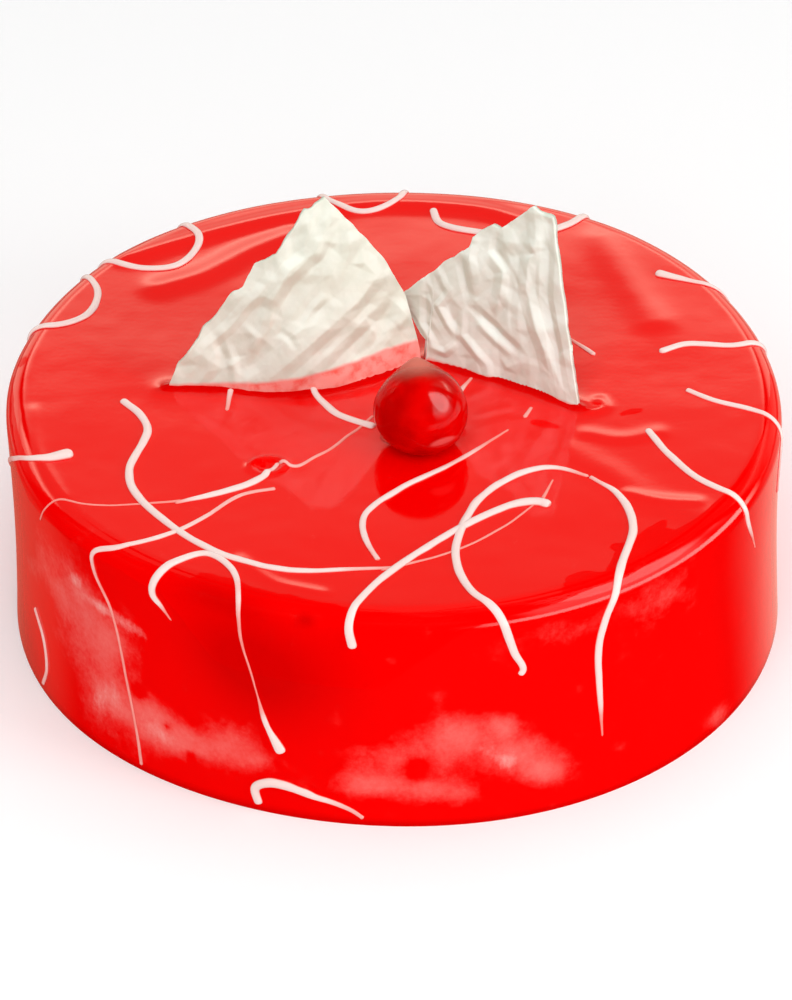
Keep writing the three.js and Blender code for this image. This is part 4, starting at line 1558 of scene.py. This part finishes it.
@dataclass
class WorldKit(Kit):
    """The world's nodes: pale air for soft light, and what shiny surfaces see.

    Directions are a height over the horizon and a way round from the back, both in degrees, the way
    round positive to the right. Every 45 degrees stands a soft box that brightens towards its foot, and
    two wings join the boxes at the back. Below them lie a low glow at the back, a strip low on the right,
    two ovals on the right, and under the horizon a floor that is redder and darker on the left.
    """

    air: float = 0.64
    dark: float = 0.02
    box_pitch: float = 45.0
    box_edge: tuple[float, float] = (19.0, 12.0)
    box_peak: float = 4.0
    box_heights: Line = (
        (4.0, 0.0), (14.0, 0.55), (20.0, 1.0), (25.0, 2.0), (29.0, 3.7), (31.0, 2.5), (32.2, 1.65),
        (33.0, 1.3), (33.4, 1.0), (34.0, 0.56), (36.2, 0.34), (60.0, 0.30), (88.0, 0.34),
    )
    front_boxes: float = 0.10
    back_boxes: tuple[float, float] = (82.0, 62.0)
    wings: tuple[Glow, ...] = (
        Glow((33.0, 35.0, 44.0, 49.0), (-54.0, -48.0, -14.0, -8.0)),
        Glow((32.0, 33.5, 36.5, 39.0), (8.0, 14.0, 28.0, 34.0)),
    )
    back_glow: Glow = Glow((-6.0, 1.0, 16.0, 26.0), (-62.0, -42.0, 42.0, 62.0), 1.5)
    strip: Glow = Glow((-12.0, -7.0, 3.0, 8.0), (58.0, 74.0, 150.0, 172.0), 5.0)
    floors: tuple[Glow, ...] = (
        Glow((-92.0, -91.0, -14.0, -4.0), (-8.0, 8.0, 25.0, 65.0), 0.91),
        Glow((-92.0, -91.0, -14.0, -4.0), (-75.0, -50.0, -8.0, 8.0), 0.57),
    )
    ovals: tuple[Oval, ...] = (
        Oval(107.0, 44.0, 27.0, 27.0, 3.2),
        Oval(118.0, 20.0, 30.0, 34.0, 1.1),
    )
    oval_edge: tuple[float, float] = (1.15, 0.8)
    box_tint: Triple = (1.0, 0.90, 0.70)
    side_tint: Triple = (1.0, 0.97, 0.92)
    left_floor_tint: Triple = (1.0, 0.24, 0.16)
    right_floor_tint: Triple = (1.0, 0.51, 0.41)
    side_from: tuple[float, float] = (58.0, 80.0)
    right_from: tuple[float, float] = (-8.0, 8.0)
    floor_from: tuple[float, float] = (-14.0, -22.0)

    def window(self, value: Socket, edges: Window) -> Socket:
        """1 inside a window, eased down to 0 at its ends."""
        start, full, fades, end = edges
        return self.product(self.step(value, start, full), self.step(value, end, fades))

    def glow(self, height: Socket, way: Socket, glow: Glow) -> Socket:
        """Brightness of a glow."""
        return self.product(self.window(height, glow.heights), self.window(way, glow.ways), glow.strength)

    def boxes(self, height: Socket, way: Socket) -> Socket:
        """Work out the soft boxes, the wings between them and the glow under them.

        Args:
            height: Degrees over the horizon.
            way: Degrees round from the back.

        Returns:
            Their brightness.
        """
        ramp = self.add("ValToRGB")
        stops = ramp.color_ramp.elements
        while len(stops) < len(self.box_heights):
            stops.new(0.5)
        for stop, (at, bright) in zip(stops, self.box_heights):
            stop.position = at / 90.0
        for stop, (at, bright) in zip(stops, self.box_heights):
            stop.color = (*[bright / self.box_peak] * 3, 1.0)
        self.feed(ramp.inputs["Fac"], self.math("DIVIDE", height, 90.0))
        bright = self.product(ramp.outputs["Color"], self.box_peak)
        away = self.math("ABSOLUTE", way)
        turned = self.math("MODULO", self.math("ADD", away, self.box_pitch / 2), self.box_pitch)
        from_middle = self.math("ABSOLUTE", self.math("SUBTRACT", turned, self.box_pitch / 2))
        share = self.total(self.front_boxes, (self.step(away, *self.back_boxes), 1.0 - self.front_boxes))
        light = self.product(bright, self.step(from_middle, *self.box_edge), share)
        for wing in self.wings:
            light = self.math("MAXIMUM", light, self.product(bright, self.glow(height, way, wing)))
        return self.math("MAXIMUM", light, self.glow(height, way, self.back_glow))

    def side(self, height: Socket, way: Socket) -> Socket:
        """Work out the strip and the ovals on the right.

        Args:
            height: Degrees over the horizon.
            way: Degrees round from the back.

        Returns:
            Their brightness.
        """
        light = self.glow(height, way, self.strip)
        for oval in self.ovals:
            across = self.math("DIVIDE", self.math("SUBTRACT", way, oval.way), oval.half_width)
            rising = self.math("DIVIDE", self.math("SUBTRACT", height, oval.height), oval.half_height)
            out = self.math("SQRT", self.total(self.product(across, across), (rising, rising)))
            light = self.math("MAXIMUM", light, self.product(self.step(out, *self.oval_edge), oval.strength))
        return light

    def build(self) -> None:
        """Link the light for soft rays and the one for shiny rays."""
        apart = self.add("SeparateXYZ")
        self.feed(apart.inputs[0], self.add("TexCoord").outputs["Generated"])
        x, y, z = apart.outputs
        height = self.math("DEGREES", self.math("ARCSINE", z))
        way = self.math("DEGREES", self.math("ARCTAN2", x, y))
        over = self.blend(self.step(way, *self.side_from), self.box_tint, self.side_tint)
        under = self.blend(self.step(way, *self.right_from), self.left_floor_tint, self.right_floor_tint)
        floors = [self.glow(height, way, floor) for floor in self.floors]
        shiny = self.add("Background")
        self.feed(shiny.inputs["Color"], self.blend(self.step(height, *self.floor_from), over, under))
        self.feed(shiny.inputs["Strength"],
                  self.total(self.dark, self.boxes(height, way), *floors, self.side(height, way)))
        choice = self.add("MixShader")
        self.feed(choice.inputs["Fac"], self.add("LightPath").outputs["Is Glossy Ray"])
        self.feed(choice.inputs[1], self.add("Background", Strength=self.air).outputs[0])
        self.feed(choice.inputs[2], shiny.outputs[0])
        self.feed(self.add("OutputWorld").inputs["Surface"], choice.outputs[0])


# ---------------------------------------------------------------- assembly


LEFT_SHARD = Shard(
    name="shard_left_sheet",
    node="shard_left",
    lean=18.0,
    foot=((-58, 2.1), (-42.7, 0.6), (-26.8, -1.9), (-10.8, 2.1), (6.2, 11.7)),
    top=((0, 1), (2.6, 6.5), (8.3, 13), (9.6, 15.6), (13, 18.8), (16.6, 24.4), (20.2, 26.6), (23.4, 32.4),
         (28.7, 34.6), (32, 38.8), (37, 45.8), (38.8, 46.2), (42.6, 48.4), (48.9, 40.8), (57.2, 30),
         (62.5, 18.9), (65.1, 6.5), (65.6, 3)),
    bottom=((0, -8), (65.6, -8)),
    folds=(
        Fold(0.95, 4.4, 2.4, ((58.5, 28.5), (49, 19.5), (39.5, 13), (31, 6.5), (24, 1))),
        Fold(-0.85, 2.4, 4, ((62.5, 19.5), (53.5, 13), (43.5, 5.5), (34, -1.5))),
        Fold(0.9, 2.2, 2.6, (
            (44.5, 45.5), (42, 40), (38.5, 34.5), (32, 30.5), (28, 24.5), (26, 15.5), (21.5, 9))),
        Fold(-0.7, 2.4, 3.2, ((47.5, 38.5), (41, 32.5), (33.5, 26.5), (29, 20.5), (25, 11.5), (18, 1.5))),
        Fold(0.6, 1.8, 1.6, ((31, 33), (26, 26.5), (21, 21.5), (16.5, 16), (10, 10.5), (5.5, 3.5))),
        Fold(0.5, 2.2, 2.2, ((48, 42), (48, 34.5), (46.5, 29))),
        Fold(0.65, 1.3, 1.5, ((15, 11.5), (16.5, 7), (16.5, -0.5))),
        Fold(-0.5, 1.4, 1.6, ((12.5, 14), (14, 8.5), (11.5, 0))),
        Fold(0.5, 1.2, 1.4, ((35, 15.5), (37, 19), (41, 23))),
        Fold(0.6, 2.6, 2.4, ((63.5, 18.5), (60.5, 12.5), (60.5, 4.5))),
        Fold(-0.45, 2, 2.4, ((58, 17.5), (55, 10), (47.5, 2))),
        Fold(0.45, 1.2, 1.4, ((51.5, 6.5), (47, 2), (42, -1))),
        Fold(-0.4, 1, 1.2, ((28.5, 14.5), (31, 12.5), (32.5, 9.5))),
        Fold(0.4, 1.3, 1.3, ((19.5, 16.5), (22.5, 13), (21.5, 7.5))),
        Fold(0.5, 1.8, 2, ((37, 44.5), (37.5, 39.5), (35, 33.5))),
    ),
    crumples=(Crumple(11, 5.0, 2.4, 50, 0.50), Crumple(12, 2.6, 1.7, 40, 0.25)),
    stain=((0, 0.4), (21, 0.4), (30, 1.0), (38, 2.0), (48, 3.6), (55, 4.9), (61, 5.9), (66, 5.8)),
    # Painted light: the whites and shades are greener than the chocolate, to cancel red light thrown up by
    # the glaze.
    finish=ShardFinish("shard_left_white", (0.83, 0.86, 0.76), (0.60, 0.64, 0.52)),
)
RIGHT_SHARD = Shard(
    name="shard_right_sheet",
    node="shard_right",
    lean=14.0,
    foot=((9.1, 12.5), (18.7, 7.5), (30.3, 1.4), (46.9, -9.6)),
    top=((-9.5, 16.8), (1.3, 28.2), (7.9, 34.1), (8.2, 36.9), (13.2, 41.7), (15.4, 41), (23.9, 49.6),
         (26, 48.6), (29.6, 47.6), (34.5, 31), (40.6, 11.1), (43.9, 1)),
    bottom=((-9.5, 14.1), (-3.2, 7), (-0.9, 5.5), (-0.6, -8), (43.9, -8)),
    folds=(
        Fold(0.95, 2.4, 2, (
            (24, 50), (26, 41), (24.5, 34.5), (25, 27), (29, 18.5), (32.5, 12.5), (34.5, 6.5), (34, 0.5))),
        Fold(-0.7, 2, 1.6, ((28, 48), (30, 36.5), (31, 26), (34.5, 17.5), (37.5, 8.5), (40.5, 1))),
        Fold(0.8, 2.2, 1.6, ((13, 34.5), (18, 30), (18, 22), (16, 18.5))),
        Fold(-0.8, 1.3, 1.6, ((9.5, 19), (14, 16), (19, 13), (25, 10))),
        Fold(0.6, 1.3, 1.3, ((12.5, 14.5), (18, 11), (23.5, 8))),
        Fold(0.75, 1.2, 1.4, ((4, 21), (1, 16), (4.5, 11.5), (7.5, 9))),
        Fold(0.7, 1.5, 1.4, ((8, 16.5), (8.5, 10), (12.5, 7), (16.5, 4), (17.5, 0))),
        Fold(-0.7, 1.6, 1.6, ((-3, 19), (-2, 10.5), (2.5, 6))),
        Fold(0.6, 1.8, 1.8, ((9.5, 38), (8, 32), (10.5, 24.5))),
        Fold(-0.55, 1.5, 1.5, ((5.5, 31), (7.5, 25), (9.5, 20))),
        Fold(0.55, 1.8, 2, ((19.5, 43), (17.5, 36), (23, 28), (23.5, 18.5), (25.5, 12))),
        Fold(0.6, 1.2, 1.2, ((0, 4.5), (4.5, 4), (7.5, 7.5))),
        Fold(-0.5, 1.4, 1.4, ((15, 40), (14.5, 35), (17, 32.5))),
        Fold(0.45, 1.4, 1.4, ((-0.5, 26.5), (2, 22), (4, 20.5))),
    ),
    crumples=(Crumple(21, 4.8, 2.4, 96, 0.48), Crumple(22, 2.5, 1.7, 120, 0.24)),
    stain=((-9.5, 0), (-1, 0), (0, 0.7), (10, 0.4), (44, 0.3)),
    # Painted light: the same chocolate as the left shard, painted lighter to make up for the light this shard
    # lacks.
    finish=ShardFinish("shard_right_white", (0.90, 0.96, 0.87), (0.62, 0.67, 0.55)),
)


def place_piece(piece: bpy.types.Object, slot: Slot, *nodes: str) -> None:
    """Let a piece ride on the cake and hide the CAD nodes that it stands for.

    Args:
        piece: The finished piece.
        slot: Not used.
        nodes: The CAD nodes that it replaces.
    """
    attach(piece, BODY)
    if nodes:
        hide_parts(*nodes)
    LOG.info("%s: %d faces", piece.name, len(piece.data.polygons))


def main() -> None:
    Studio().build()
    bare = Skin()
    cherry = Cherry(bare)
    skin = Skin(feet=[LEFT_SHARD.foot_line(40), RIGHT_SHARD.foot_line(30), cherry.foot_line(33)])
    place_piece(Glaze(skin).build(), Slot.GLAZE, "cake")
    place_piece(Drizzle(skin).build(), Slot.DRIZZLE)
    for shard in (LEFT_SHARD, RIGHT_SHARD):
        place_piece(shard.build(), Slot.SHARD, shard.node)
    ball, film = cherry.build()
    place_piece(ball, Slot.CHERRY, "cherry")
    place_piece(film, Slot.GLAZE)


if __name__ == "__main__":
    main()
